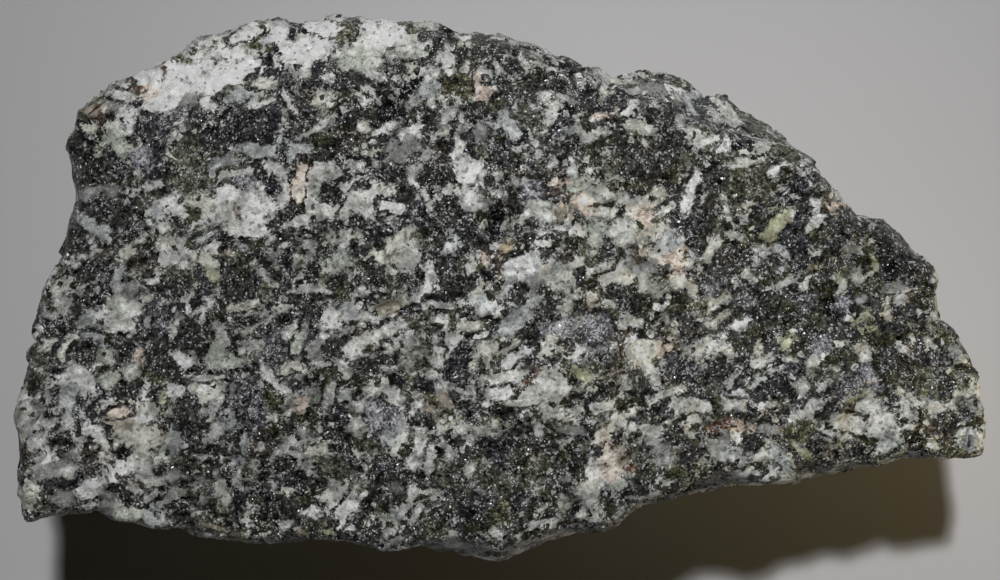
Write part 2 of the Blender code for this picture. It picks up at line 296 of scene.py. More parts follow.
def wall(points):
    """How far each point is outside the walls, which run from one outline down to the other."""
    across = points[:, 0] - CENTRE[0]
    up = points[:, 1] - CENTRE[1]
    direction = np.arctan2(up, across)
    table = np.array(WALL, float)
    turn = np.radians(table[:, 0])
    widest = widest_level(direction)
    above = np.tan(np.radians(np.interp(direction, turn, table[:, 2], period=2 * np.pi)))
    square = np.interp(direction, STEPS, SQUARENESS, period=2 * np.pi)
    height = points[:, 2] - widest
    share = soft_ramp(-height, 1.2) / (widest - UNDER_HEIGHT)
    share = share * np.clip(1.0 + 0.55 * noise(points, 15.0, 45) * (1.0 - share), 0.2, 2.0)
    share = np.power(share, WALL_FADE)
    edge = outline_distance(direction)
    under_edge = np.interp(direction, STEPS, UNDER_DISTANCES, period=2 * np.pi)
    outside = (np.hypot(across, up) - edge - (under_edge - edge) * share) * square
    lean = above * soft_ramp(height, 1.5)
    away = 1.0 - np.exp(-np.square(height / 4.5))
    rough = np.zeros(len(points))
    for seed, (cell, reach) in enumerate(WALL_FACETS):
        rough += reach * (faceted_noise(points, cell, 41 + seed) + 0.3)
    step = height / WALL_LEDGE_PITCH + 0.9 * noise(points, 9.0, 47)
    step -= np.floor(step)
    rough += WALL_LEDGE_HEIGHT * (step - np.clip((step - 0.75) / 0.25, 0.0, 1.0))
    return outside + lean + rough * away


def broken_faces(points, faces, upward):
    """How far each point is outside a set of broken faces, with rounded edges between them."""
    worst = None
    for x, y, z, towards, dip in faces:
        lean = np.sin(np.radians(dip))
        normal = np.array([
            lean * np.cos(np.radians(towards)),
            lean * np.sin(np.radians(towards)),
            upward * np.cos(np.radians(dip)),
        ])
        outside = (points - np.array([x, y, z], float)) @ normal
        worst = outside if worst is None else smooth_max(worst, outside, EDGE_BLEND)
    return worst


def ledges(points):
    """Low steps across the broad face, higher in some parts than in others."""
    turn = np.radians(LEDGE_ANGLE)
    across = points[:, 1] * np.cos(turn) - points[:, 0] * np.sin(turn)
    across = across / LEDGE_PITCH + 0.55 * noise(points, 13.0, 61) + 0.15 * noise(points, 5.0, 62)
    step = across - np.floor(across)
    shape = step - np.clip((step - 0.8) / 0.2, 0.0, 1.0)
    strength = np.clip(0.55 + 0.9 * noise(points, 17.0, 63), 0.0, 1.0)
    return LEDGE_HEIGHT * strength * shape


def pits(points):
    """Depth of the pits at each point."""
    depth = np.zeros(len(points))
    for across, down, half_long, half_tall, turn, deep in PITS:
        x, y = read_to_mm(across, down)
        dx = points[:, 0] - x * seen_size(FACE_HEIGHT)
        dy = points[:, 1] - y * seen_size(FACE_HEIGHT)
        cos, sin = np.cos(np.radians(turn)), np.sin(np.radians(turn))
        along = (dx * cos + dy * sin) / half_long
        beside = (dy * cos - dx * sin) / half_tall
        depth += deep * np.exp(-np.power(along * along + beside * beside, 1.5))
    return depth


def form(points):
    """Negative inside the stone, positive outside, about a distance in millimetres."""
    bent = bend(points)
    top = broken_faces(bent, TOP_FACES, 1.0)
    under = broken_faces(bent, UNDER_FACES, -1.0)
    upper = np.clip((points[:, 2] - MIDDLE_HEIGHT) / 8.0, 0.0, 1.0)
    top = top + upper * (ledges(points) + pits(points))
    rough = np.zeros(len(points))
    for seed, (cell, reach) in enumerate(FACETS):
        rough += reach * faceted_noise(bent, cell, 51 + seed)
    faces = smooth_max(top + rough, under + rough, EDGE_BLEND)
    return smooth_max(faces, wall(points), WALL_BLEND)


def onto_stone(start, end):
    """Where each line from inside the stone to outside it meets the surface."""
    inside = np.zeros(len(start))
    outside = np.ones(len(start))
    for _ in range(SEARCH_STEPS):
        middle = 0.5 * (inside + outside)
        value = form(start + (end - start) * middle[:, None])
        inside = np.where(value < 0.0, middle, inside)
        outside = np.where(value < 0.0, outside, middle)
    return start + (end - start) * (0.5 * (inside + outside))[:, None]


def plan_point(direction, share):
    """A point at this share of the way from the centre to the outline."""
    reach = outline_distance(direction) * share
    return CENTRE[0] + reach * np.cos(direction), CENTRE[1] + reach * np.sin(direction)


def cap(direction, share, end_height):
    """Points on the broad face or the underside, found straight up or down."""
    x, y = plan_point(direction, share)
    start = np.column_stack([x, y, np.full(len(x), MIDDLE_HEIGHT)])
    end = np.column_stack([x, y, np.full(len(x), end_height)])
    return onto_stone(start, end)


def side(direction, down):
    """Points on the walls, found by lines that fan out from a ring inside the stone."""
    x, y = plan_point(direction, INNER_RIM)
    start = np.column_stack([x, y, np.full(len(x), MIDDLE_HEIGHT)])
    top = cap(direction, np.full(len(x), TOP_RIM), SEARCH_REACH)
    under = cap(direction, np.full(len(x), UNDER_RIM), -SEARCH_REACH)
    reach = outline_distance(direction)
    top_turn = np.arctan2(top[:, 2] - MIDDLE_HEIGHT, reach * (TOP_RIM - INNER_RIM))
    under_turn = np.arctan2(under[:, 2] - MIDDLE_HEIGHT, reach * (UNDER_RIM - INNER_RIM))
    turn = top_turn + (under_turn - top_turn) * down
    way = np.column_stack([
        np.cos(turn) * np.cos(direction),
        np.cos(turn) * np.sin(direction),
        np.sin(turn),
    ])
    return onto_stone(start, start + SEARCH_REACH * way)


# How the stone is seen.

# Middle and width of the frame in reading steps, width of the film in millimetres, and the eye's
# place above the paper.
FRAME_CENTRE = (500.0, 290.0)
FRAME_WIDTH_STEPS = 1000.0
SENSOR_WIDTH = 36.0
EYE_X = (FRAME_CENTRE[0] - READ_CENTRE[0]) * READ_STEP
EYE_Y = (READ_CENTRE[1] - FRAME_CENTRE[1]) * READ_STEP

# The surface grid.

# Cells of the broad face, and the directions of its corners in degrees: lower left, lower right,
# upper right, upper left. The walls have fine rows down to a share of the way, then coarse ones.
TOP_CELLS = (280, 158)
GRID_CORNERS = (-154.0, -15.7, 31.5, 154.0)
ARC_STEPS = 4000
FINE_ROWS = 30
FINE_SHARE = 0.42
COARSE_ROWS = 34


def as_seen(points):
    """Across and down readings of points as the eye above sees them."""
    scale = 1.0 / (seen_size(points[:, 2]) * READ_STEP)
    across = FRAME_CENTRE[0] + (points[:, 0] - EYE_X) * scale
    down = FRAME_CENTRE[1] - (points[:, 1] - EYE_Y) * scale
    return across, down


def rim_directions(cells):
    """Directions of the corners round the edge of the grid, evenly spaced along the outline."""
    turns = np.radians(GRID_CORNERS + (GRID_CORNERS[0] + 360.0,))
    parts = []
    for first, last, count in zip(turns[:-1], turns[1:], cells * 2):
        fine = np.linspace(first, last, ARC_STEPS)
        x, y = plan_point(fine, TOP_RIM)
        length = np.concatenate([[0.0], np.cumsum(np.hypot(np.diff(x), np.diff(y)))])
        parts.append(np.interp(np.arange(count) / count * length[-1], length, fine))
    return np.concatenate(parts)


def between_sides(ring, cells):
    """Values over a grid from those round its edge, counter-clockwise from the lower left.

    The two pairs of opposite sides are each joined in straight lines and added, and what the four
    corners alone would give is taken off.
    """
    wide, tall = cells
    bottom, right = ring[:wide + 1], ring[wide:wide + tall + 1][:, None]
    top = ring[wide + tall:2 * wide + tall + 1][::-1]
    left = np.concatenate([ring[2 * wide + tall:], ring[:1]])[::-1][:, None]
    u = np.linspace(0.0, 1.0, wide + 1)[None, :]
    v = np.linspace(0.0, 1.0, tall + 1)[:, None]
    corners = (1 - u) * (1 - v) * bottom[0] + u * (1 - v) * bottom[-1]
    corners = corners + (1 - u) * v * top[0] + u * v * top[-1]
    return ((1 - v) * bottom + v * top + (1 - u) * left + u * right - corners).ravel()


def face(directions, share, cells, end_height):
    """Points of the broad face or the underside over a grid inside its rim."""
    x, y = plan_point(directions, share)
    x, y = between_sides(x, cells), between_sides(y, cells)
    start = np.column_stack([x, y, np.full(len(x), MIDDLE_HEIGHT)])
    end = np.column_stack([x, y, np.full(len(x), end_height)])
    return onto_stone(start, end)


def grid_quads(cells):
    """Corner numbers of every cell of a grid, counter-clockwise."""
    wide = cells[0] + 1
    row, column = np.meshgrid(np.arange(cells[1]), np.arange(cells[0]), indexing="ij")
    first = (row * wide + column).ravel()
    return np.column_stack([first, first + 1, first + 1 + wide, first + wide])


def rim_of(cells):
    """Corner numbers round the edge of a grid, counter-clockwise from the lower left."""
    wide, tall = cells[0] + 1, cells[1] + 1
    bottom = np.arange(0, wide - 1)
    right = (wide - 1) + wide * np.arange(0, tall - 1)
    top = (tall - 1) * wide + np.arange(wide - 1, 0, -1)
    left = wide * np.arange(tall - 1, 0, -1)
    return np.concatenate([bottom, right, top, left])


def ring_quads(upper, lower):
    """Quads between two rings of corner numbers, the upper ring first, facing outwards."""
    return np.column_stack([upper, lower, np.roll(lower, -1), np.roll(upper, -1)])


def halving_triangles(upper, lower):
    """Triangles between a ring and one with half as many corners."""
    one, two, three = upper[0::2], upper[1::2], np.roll(upper[0::2], -1)
    here, after = lower, np.roll(lower, -1)
    return np.concatenate([
        np.column_stack([one, here, two]),
        np.column_stack([two, here, after]),
        np.column_stack([two, after, three]),
    ])


def stone_grid():
    """Points and faces of the whole closed surface: top, fine band, coarse band and underside."""
    under_cells = (TOP_CELLS[0] // 2, TOP_CELLS[1] // 2)
    rim = rim_of(TOP_CELLS)
    rim_direction = rim_directions(TOP_CELLS)
    points = [face(rim_direction, TOP_RIM, TOP_CELLS, SEARCH_REACH)]
    quads = [grid_quads(TOP_CELLS)]
    triangles = []
    count = len(points[0])
    ring = rim
    fine = len(rim)
    downs = FINE_SHARE * np.arange(1, FINE_ROWS + 1) / FINE_ROWS
    points.append(side(np.tile(rim_direction, FINE_ROWS), np.repeat(downs, fine)))
    for row in range(FINE_ROWS):
        below = count + np.arange(fine)
        quads.append(ring_quads(ring, below))
        ring = below
        count += fine
    coarse_direction = rim_direction[0::2]
    coarse = len(coarse_direction)
    downs = FINE_SHARE + (1.0 - FINE_SHARE) * np.arange(1, COARSE_ROWS) / COARSE_ROWS
    points.append(side(np.tile(coarse_direction, COARSE_ROWS - 1), np.repeat(downs, coarse)))
    for row in range(COARSE_ROWS - 1):
        below = count + np.arange(coarse)
        if row == 0:
            triangles.append(halving_triangles(ring, below))
        else:
            quads.append(ring_quads(ring, below))
        ring = below
        count += coarse
    points.append(face(coarse_direction, UNDER_RIM, under_cells, -SEARCH_REACH))
    quads.append(ring_quads(ring, count + rim_of(under_cells)))
    quads.append(grid_quads(under_cells)[:, ::-1] + count)
    return np.concatenate(points), np.concatenate(quads), np.concatenate(triangles)


def normals_of(points, quads, triangles):
    """Unit normals at the points, each the sum of those of the faces round it."""
    total = np.zeros_like(points)
    across = points[quads[:, 2]] - points[quads[:, 0]]
    cross = np.cross(across, points[quads[:, 3]] - points[quads[:, 1]])
    cross_three = np.cross(points[triangles[:, 1]] - points[triangles[:, 0]],
                           points[triangles[:, 2]] - points[triangles[:, 0]])
    for axis in range(3):
        for corner in range(4):
            total[:, axis] += np.bincount(quads[:, corner], cross[:, axis], len(points))
        for corner in range(3):
            total[:, axis] += np.bincount(triangles[:, corner], cross_three[:, axis], len(points))
    return total / np.maximum(np.linalg.norm(total, axis=1), 1e-12)[:, None]


def ease(value, low, high):
    """Zero below low, one above high, and an S-shaped rise between."""
    part = np.clip((value - low) / (high - low), 0.0, 1.0)
    return part * part * (3.0 - 2.0 * part)


# Minerals.

TINTS = {
    # Painted highlight: the white that the pale crystals on the upper left bevel are pushed
    # towards.
    "bright": (0.95, 0.95, 0.915),
    "white": (0.78, 0.78, 0.745),
    "pale": (0.54, 0.545, 0.500),
    "green": (0.44, 0.462, 0.400),
    "blue": (0.43, 0.452, 0.440),
    "cream": (0.61, 0.598, 0.520),
    "peach": (0.72, 0.605, 0.510),
    "grey": (0.25, 0.252, 0.238),
    "ochre": (0.58, 0.48, 0.32),
    "straw": (0.37, 0.37, 0.25),
    "tan": (0.33, 0.295, 0.230),
    "rust": (0.155, 0.085, 0.055),
    "olive": (0.13, 0.125, 0.070),
    "brown": (0.088, 0.074, 0.060),
    "dark": (0.052, 0.052, 0.0455),
    "violet": (0.047, 0.046, 0.050),
    "moss": (0.058, 0.060, 0.036),
    "mid": (0.125, 0.128, 0.095),
    # Painted glint: a dark crystal's cleavage face painted in the pale grey of its reflection.
    "painted_glint_patch": (0.30, 0.30, 0.33),
    "lilac": (0.105, 0.104, 0.112),
    # Black: opaque grains, and painted shade in the pits.
    "black": (0.008, 0.008, 0.008),
}
DARK_TINTS = ("dark", "violet", "moss", "mid", "brown", "olive", "rust", "painted_glint_patch", "lilac", "black")
# Painted glints: how strongly these kinds carry white flecks that stand for sparkle off tiny
# facets.
PAINTED_GLINT_KINDS = {"painted_glint_patch": 1.0, "lilac": 0.35}

# The crystals that fill the stone start one in each cube of a lattice. These are its cube, its low
# corner and its numbers of cubes, then the half sizes of slim and stout crystals in millimetres,
# the share of slim ones and the shares of both that are pale.
LATTICE_CELL = 1.7
LATTICE_LOW = (-54.0, -32.0, -5.0)
LATTICE_CUBES = (64, 38, 22)
SLIM_CRYSTAL = (1.75, 0.50, 0.38)
STOUT_CRYSTAL = (1.0, 0.85, 0.80)
SLIM_SHARE = 0.56
PALE_SHARE_SLIM = 0.80
PALE_SHARE_STOUT = 0.10

# The way that crystals tend to lie and how strongly, clusters of pale ones as size and strength,
# and the tints with their shares.
GRAIN_DIRECTION = (0.86, 0.48, 0.1)
GRAIN_PULL = 0.30
CLUSTERS = ((4.5, 0.32), (11.0, 0.16))
CLUSTER_SEED = 61
LATTICE_SEED = 200
PALE_CHOICES = (("pale", 0.34), ("green", 0.18), ("blue", 0.18), ("cream", 0.18), ("white", 0.12))
DARK_CHOICES = (("dark", 0.34), ("violet", 0.22), ("moss", 0.22), ("mid", 0.17), ("brown", 0.05))

# Parts of the broad face with more pale crystals, or with fewer: across, down, length, width,
# turn in degrees, and how much more likely pale ones are. The first two are the white patch on the
# bevel along the upper left edge, whose pale crystals also get a painted highlight.
RICHER = (
    (200, 72, 230, 74, 22, 1.6), (345, 33, 245, 62, 3, 1.6), (235, 130, 190, 50, 3, -1.0),
    (75, 155, 40, 40, 0, -0.8), (120, 430, 130, 100, 0, 0.5), (235, 215, 90, 90, 0, 0.5),
    (600, 215, 170, 70, 0, 0.5), (520, 370, 130, 90, 0, 0.7), (860, 415, 130, 60, 0, 0.6),
    (700, 415, 160, 40, 3, 0.6), (250, 510, 200, 40, 0, -0.2), (500, 470, 160, 90, 0, -0.6),
    (830, 300, 150, 120, 0, -0.5), (640, 160, 90, 40, 0, -0.7), (890, 250, 90, 60, -40, -0.5),
    (200, 350, 140, 70, 0, -0.4), (650, 470, 200, 50, 5, -0.3), (180, 180, 120, 60, 0, -0.5),
    (540, 210, 160, 60, 0, 0.7), (385, 200, 90, 50, 0, 0.6), (450, 320, 60, 50, 0, 0.7),
    (560, 265, 120, 50, 0, 0.6), (350, 320, 90, 50, 20, 0.6), (620, 120, 80, 40, 0, 0.5),
    (300, 185, 90, 80, 0, 0.7), (120, 315, 60, 50, 0, 0.6), (85, 380, 90, 30, 0, 0.6),
    (230, 365, 110, 30, 10, 0.6), (650, 350, 60, 60, 0, 0.6), (670, 265, 60, 60, 0, 0.5),
    (600, 470, 60, 70, 0, 0.6), (690, 195, 40, 50, 0, 0.5), (580, 385, 60, 30, 0, 0.5),
    (330, 100, 100, 80, 0, -0.8), (335, 130, 110, 50, 0, -0.6), (625, 162, 66, 88, 0, -1.5),
    (122, 175, 56, 56, 0, -0.5), (172, 225, 60, 56, 0, -0.5), (375, 272, 76, 56, 0, -1.4),
    (785, 310, 180, 100, 0, -1.2), (625, 312, 60, 54, 0, -0.7), (718, 368, 70, 64, 0, -0.8),
    (920, 376, 96, 76, 0, -1.1), (925, 420, 80, 56, 0, -0.6), (222, 425, 80, 60, 0, -1.4),
    (572, 470, 64, 54, 0, -0.8), (370, 220, 60, 50, 0, 0.7), (375, 512, 70, 60, 0, -0.8),
    (430, 518, 60, 50, 0, -0.5), (675, 422, 64, 54, 0, -0.4), (285, 195, 96, 96, 0, 1.0),
    (330, 222, 80, 60, 0, 0.7), (478, 172, 70, 60, 0, 0.7), (575, 222, 70, 56, 0, 0.6),
    (385, 320, 100, 60, 0, 1.0), (520, 392, 66, 76, 0, 1.3), (622, 478, 56, 56, 0, 0.9),
    (520, 124, 60, 44, 0, 0.5), (468, 65, 50, 70, 0, 0.5), (465, 222, 60, 56, 0, 0.6),
    (120, 110, 60, 40, 0, 0.5),
)

# Crystals of the broad face that stand out: across, down, length, width, turn in degrees.
# One that has no turn of its own gets a lean of LEAN degrees, LEAN_SPREAD more or less.
LEAN = 8.0
LEAN_SPREAD = 24.0
LEAN_CHANGE = (12.9, 7.3)
CRYSTALS = {
    "grey": (
        (110, 112, 20, 16), (92, 188, 22, 14, 50), (112, 190, 10, 14), (188, 103, 14, 10),
        (305, 245, 20, 20), (132, 290, 20, 14), (652, 88, 14, 10), (652, 265, 16, 12),
        (855, 250, 30, 10), (862, 300, 14, 10), (890, 290, 24, 16), (45, 420, 14, 24),
        (60, 470, 30, 20), (65, 500, 24, 14), (107, 500, 12, 20), (232, 390, 14, 14),
        (325, 350, 20, 16), (175, 475, 14, 14), (205, 500, 20, 16), (425, 352, 16, 12),
        (485, 205, 12, 12), (530, 285, 14, 10), (660, 445, 20, 14), (765, 428, 30, 8),
        (952, 350, 20, 12), (810, 370, 12, 10), (725, 445, 10, 20), (457, 548, 20, 10),
        (400, 538, 40, 8), (395, 490, 14, 10), (570, 430, 30, 10, -10), (830, 450, 12, 16),
        (405, 150, 30, 16, 20), (480, 130, 16, 20), (110, 380, 20, 16), (690, 163, 14, 10),
    ),
    "lilac": (
        (170, 118, 30, 12), (157, 320, 16, 28), (270, 335, 28, 26), (250, 402, 34, 46),
        (530, 158, 10, 10), (712, 285, 14, 14), (745, 295, 14, 16), (575, 328, 54, 22),
        (380, 415, 34, 40), (850, 385, 20, 20), (275, 358, 20, 16), (75, 412, 10, 10),
        (533, 197, 22, 26), (807, 303, 12, 10), (475, 545, 14, 8), (690, 365, 20, 18),
    ),
    "mid": (
        (190, 185, 30, 26), (210, 228, 14, 14), (750, 190, 44, 44), (760, 125, 14, 24),
        (785, 152, 34, 14, -40), (220, 510, 30, 20), (180, 150, 30, 16), (530, 118, 20, 34),
        (330, 470, 30, 24), (645, 165, 20, 16), (490, 480, 34, 20), (930, 385, 20, 30),
    ),
    "pale": (
        (120, 95, 30, 12), (128, 118, 10, 14), (100, 133, 10, 8), (163, 203, 24, 12),
        (160, 226, 24, 14), (180, 210, 16, 12), (172, 137, 16, 8, 50), (82, 255, 12, 8),
        (150, 282, 14, 10), (68, 303, 8, 16), (183, 308, 16, 12), (138, 173, 8, 8),
        (228, 195, 26, 20, 20), (243, 212, 44, 40, -20), (252, 225, 30, 22), (235, 174, 34, 10, 5),
        (278, 190, 24, 46, 10), (316, 172, 34, 20, -10), (330, 180, 10, 16), (292, 222, 24, 8),
        (303, 214, 14, 14), (283, 247, 10, 10), (310, 288, 34, 9, 5), (277, 298, 14, 6),
        (225, 325, 8, 18), (318, 127, 44, 7, 35), (365, 50, 40, 36), (425, 25, 28, 9),
        (405, 50, 24, 18), (447, 60, 14, 28), (432, 72, 16, 12), (497, 68, 6, 16), (545, 93, 8, 12),
        (558, 103, 12, 12), (410, 104, 20, 9, 30), (553, 115, 12, 20), (445, 115, 10, 14),
        (460, 145, 12, 44), (448, 190, 12, 12), (590, 125, 24, 28), (605, 112, 30, 10),
        (620, 128, 18, 12), (642, 128, 34, 11, -10), (590, 170, 8, 10), (555, 165, 14, 8),
        (587, 205, 40, 20), (598, 215, 34, 12), (540, 210, 24, 14), (475, 205, 10, 12),
        (497, 180, 8, 14), (415, 170, 14, 12), (352, 205, 32, 10, 60), (375, 204, 46, 24),
        (427, 200, 7, 24), (357, 165, 22, 10), (379, 165, 14, 9), (336, 170, 12, 16),
        (500, 247, 20, 6), (565, 245, 20, 10), (640, 205, 24, 12), (625, 225, 16, 14),
        (655, 225, 14, 10), (665, 210, 24, 8), (680, 125, 10, 16), (727, 112, 22, 13, -50),
        (733, 126, 20, 13), (763, 155, 10, 16), (745, 163, 40, 8, 12), (729, 215, 30, 8, -65),
        (750, 205, 8, 8), (815, 218, 8, 8), (870, 245, 8, 14), (803, 288, 10, 10),
        (785, 282, 24, 9), (758, 266, 8, 16), (747, 250, 10, 10), (713, 248, 36, 11, 65),
        (735, 235, 20, 7, -20), (735, 280, 6, 14), (900, 300, 20, 10), (122, 318, 34, 32),
        (175, 325, 6, 20), (130, 370, 14, 22), (80, 380, 38, 20), (48, 395, 8, 24),
        (105, 408, 14, 10), (38, 445, 26, 13, 55), (30, 425, 12, 8), (80, 437, 10, 12),
        (142, 455, 22, 26), (70, 475, 8, 10), (135, 490, 20, 9, -35), (150, 497, 18, 8),
        (170, 498, 14, 8), (210, 460, 28, 12), (215, 432, 20, 16), (262, 445, 10, 10),
        (225, 335, 12, 28), (205, 375, 40, 10, 5), (255, 352, 30, 16, 35), (330, 395, 30, 10, 80),
        (302, 435, 10, 14), (407, 262, 8, 16), (470, 268, 12, 10), (550, 245, 30, 9),
        (580, 262, 12, 12), (562, 282, 24, 13), (600, 268, 30, 9), (628, 320, 16, 13),
        (347, 310, 30, 18), (366, 318, 20, 13), (370, 337, 60, 12, 18), (350, 350, 20, 18),
        (388, 348, 10, 14), (345, 370, 10, 22), (440, 305, 20, 8), (461, 303, 12, 8),
        (425, 315, 16, 7, -30), (450, 321, 40, 13), (440, 332, 22, 14), (437, 348, 9, 26),
        (437, 364, 13, 12), (412, 365, 10, 20), (470, 343, 14, 7), (508, 368, 42, 34),
        (522, 400, 40, 13), (547, 390, 40, 22), (555, 410, 9, 16), (592, 385, 30, 13),
        (648, 370, 20, 13, -50), (367, 393, 10, 13), (428, 411, 46, 7, -50), (443, 432, 8, 8),
        (537, 430, 9, 22), (595, 465, 24, 20), (430, 462, 8, 28), (715, 320, 30, 9, 30),
        (665, 307, 14, 8, 50), (785, 360, 20, 7), (735, 380, 20, 7, 30), (757, 372, 20, 6, 35),
        (663, 403, 20, 15), (702, 407, 64, 14, 2), (742, 405, 36, 13), (780, 405, 26, 5),
        (818, 406, 24, 15, 20), (848, 424, 34, 15), (880, 424, 28, 24), (870, 405, 22, 18),
        (905, 407, 13, 18), (862, 350, 17, 20), (905, 350, 9, 9), (930, 343, 20, 7, -45),
        (952, 408, 10, 10), (910, 425, 14, 8), (961, 432, 16, 20), (825, 385, 14, 7),
        (805, 383, 7, 12), (765, 456, 20, 11, 60), (190, 525, 38, 6), (230, 526, 20, 6, -25),
        (285, 527, 12, 7), (415, 516, 24, 8, 60), (453, 535, 10, 9), (522, 515, 10, 8),
        (541, 510, 10, 9), (590, 498, 18, 26), (620, 512, 20, 7, 45), (645, 496, 28, 4, 12),
        (665, 365, 10, 9), (340, 525, 20, 12, 30), (488, 330, 20, 22),
    ),
    "green": (
        (352, 58, 26, 18), (122, 147, 34, 19, -40), (98, 90, 14, 10), (360, 235, 9, 20),
        (640, 128, 10, 8), (580, 190, 26, 15), (837, 287, 13, 20), (650, 285, 14, 18),
        (330, 240, 11, 16), (293, 265, 22, 10, 60), (110, 305, 16, 16), (110, 381, 18, 12),
        (230, 363, 38, 12), (220, 353, 18, 26), (302, 337, 36, 9, 65), (222, 490, 12, 42),
        (568, 505, 18, 12), (400, 60, 20, 10), (258, 90, 20, 14), (600, 235, 24, 22),
    ),
    "blue": (
        (225, 160, 40, 8, 30), (258, 150, 32, 15, -15), (93, 226, 36, 14, -40), (158, 212, 12, 14),
        (205, 237, 18, 6), (92, 340, 24, 10), (147, 322, 6, 14), (67, 396, 15, 22),
        (227, 422, 12, 18), (425, 92, 22, 13, 35), (508, 123, 32, 13, -62), (520, 319, 54, 16, 42),
        (690, 103, 22, 11, 60), (345, 305, 16, 10), (298, 152, 26, 12), (735, 455, 13, 13),
        (966, 440, 14, 16), (238, 92, 20, 12), (412, 206, 14, 8),
    ),
    "white": (
        (160, 90, 30, 22), (150, 104, 20, 12), (150, 78, 28, 18), (222, 70, 36, 20),
        (200, 78, 18, 12), (308, 52, 36, 18, 10), (325, 28, 40, 12), (245, 33, 30, 12, 20),
        (387, 30, 26, 17), (370, 26, 20, 10), (277, 72, 26, 6, 100), (286, 100, 30, 6, -62),
        (128, 118, 8, 12), (205, 106, 10, 11), (169, 204, 10, 10), (228, 194, 14, 10),
        (253, 224, 18, 16), (387, 127, 32, 7), (465, 168, 22, 24), (470, 192, 15, 12),
        (533, 145, 10, 9), (395, 206, 24, 10, -10), (540, 243, 20, 9), (655, 190, 10, 13),
        (691, 193, 44, 12, 73), (727, 143, 9, 20), (775, 173, 12, 11), (786, 190, 12, 11),
        (817, 205, 11, 13), (430, 274, 13, 18), (520, 265, 18, 14), (400, 327, 11, 13),
        (330, 321, 13, 11), (515, 357, 28, 9), (497, 393, 28, 12), (485, 405, 11, 11),
        (578, 350, 14, 10), (88, 488, 21, 20), (94, 431, 26, 12), (102, 441, 18, 12),
        (170, 388, 26, 11, -33), (346, 513, 46, 13, 52), (310, 511, 9, 7), (737, 323, 15, 12),
        (763, 363, 24, 10), (745, 475, 24, 9), (535, 528, 13, 9), (632, 425, 9, 9),
        (759, 402, 10, 8), (415, 412, 12, 20), (648, 343, 22, 11), (870, 425, 12, 8),
        (605, 407, 24, 11, 15), (122, 466, 16, 8, -50), (350, 178, 8, 8), (190, 62, 14, 8),
    ),
    "cream": (
        (88, 129, 18, 8), (127, 251, 18, 13), (158, 244, 8, 13), (208, 263, 18, 13),
        (245, 305, 34, 8, 15), (383, 252, 13, 13), (365, 128, 13, 13), (657, 190, 12, 10),
        (590, 302, 12, 18), (490, 348, 24, 15), (645, 352, 34, 22), (700, 350, 9, 16),
        (758, 350, 14, 9, -70), (107, 452, 13, 13), (148, 437, 34, 24), (291, 365, 24, 11, 20),
        (65, 346, 21, 20), (447, 425, 10, 13), (693, 424, 16, 11), (588, 481, 16, 11),
        (930, 446, 12, 9), (885, 312, 18, 8, -80), (897, 390, 9, 9), (690, 290, 10, 18),
        (677, 282, 16, 18), (470, 325, 26, 10), (265, 84, 22, 10),
    ),
    "peach": (
        (300, 183, 12, 36, -8), (555, 183, 17, 9), (574, 206, 22, 12), (644, 218, 13, 14),
        (481, 90, 13, 24), (97, 112, 8, 12), (740, 423, 15, 9), (616, 470, 13, 10),
        (485, 262, 8, 18), (668, 346, 12, 10), (833, 206, 12, 7), (675, 262, 18, 14),
        (120, 412, 18, 8), (611, 455, 12, 22), (227, 255, 7, 11), (140, 355, 9, 8),
        (605, 112, 12, 7), (302, 408, 7, 9), (148, 95, 12, 9),
    ),
    "tan": (
        (90, 110, 16, 12), (625, 455, 13, 18), (310, 531, 26, 6), (215, 527, 30, 5),
        (440, 405, 13, 18, -40), (105, 250, 10, 10), (390, 308, 22, 13), (120, 422, 12, 6),
        (790, 437, 14, 7), (563, 213, 12, 8),
    ),
    "ochre": (
        (510, 250, 10, 7),
    ),
    "straw": (
        (775, 229, 34, 20, 50), (875, 264, 18, 7, -72), (862, 318, 20, 7), (788, 346, 13, 18),
        (875, 328, 14, 5), (810, 265, 9, 8), (160, 395, 7, 16), (507, 417, 10, 6),
        (802, 450, 24, 7, -45), (212, 276, 12, 12), (585, 375, 26, 10), (330, 533, 18, 5),
    ),
    "rust": (
        (238, 213, 5, 11, 8), (532, 375, 18, 7, 38), (621, 457, 6, 5), (630, 470, 6, 6),
        (184, 83, 14, 3, -20), (146, 93, 8, 4, -60), (101, 116, 4, 10), (164, 75, 3, 9),
        (524, 383, 8, 6), (722, 427, 12, 5),
    ),
    "brown": (
        (557, 170, 14, 8), (558, 194, 11, 7), (525, 172, 9, 9), (500, 261, 12, 17),
        (562, 260, 15, 8), (150, 352, 11, 7), (620, 345, 8, 36), (90, 456, 12, 26),
        (505, 205, 18, 14), (475, 65, 11, 18), (925, 430, 9, 12), (530, 369, 12, 6, 30),
        (103, 250, 7, 8), (665, 330, 16, 11), (393, 50, 6, 10),
    ),
    "olive": (
        (182, 57, 20, 10), (257, 45, 16, 10), (343, 33, 12, 11), (455, 85, 22, 22),
        (806, 430, 22, 17), (412, 32, 11, 9), (90, 101, 10, 6), (437, 403, 38, 5, -45),
        (150, 375, 18, 8), (817, 233, 7, 8), (278, 410, 6, 20), (500, 515, 9, 17),
    ),
    # Black: opaque grains, and over the pits at 392,112, 497,230, 405,308, 127,453 and 579,508
    # painted shade in the pits.
    "black": (
        (293, 36, 13, 8), (208, 45, 12, 6), (265, 60, 10, 8), (449, 33, 8, 9), (409, 85, 22, 8, 38),
        (392, 112, 22, 22), (497, 230, 14, 26), (439, 453, 7, 7), (579, 508, 8, 8),
        (127, 453, 11, 11), (405, 308, 13, 8), (835, 305, 15, 12), (895, 275, 11, 13),
        (489, 276, 11, 13), (895, 450, 28, 5), (571, 70, 26, 12, -10), (610, 105, 22, 10),
        (745, 140, 18, 14),
    ),
    "dark": (
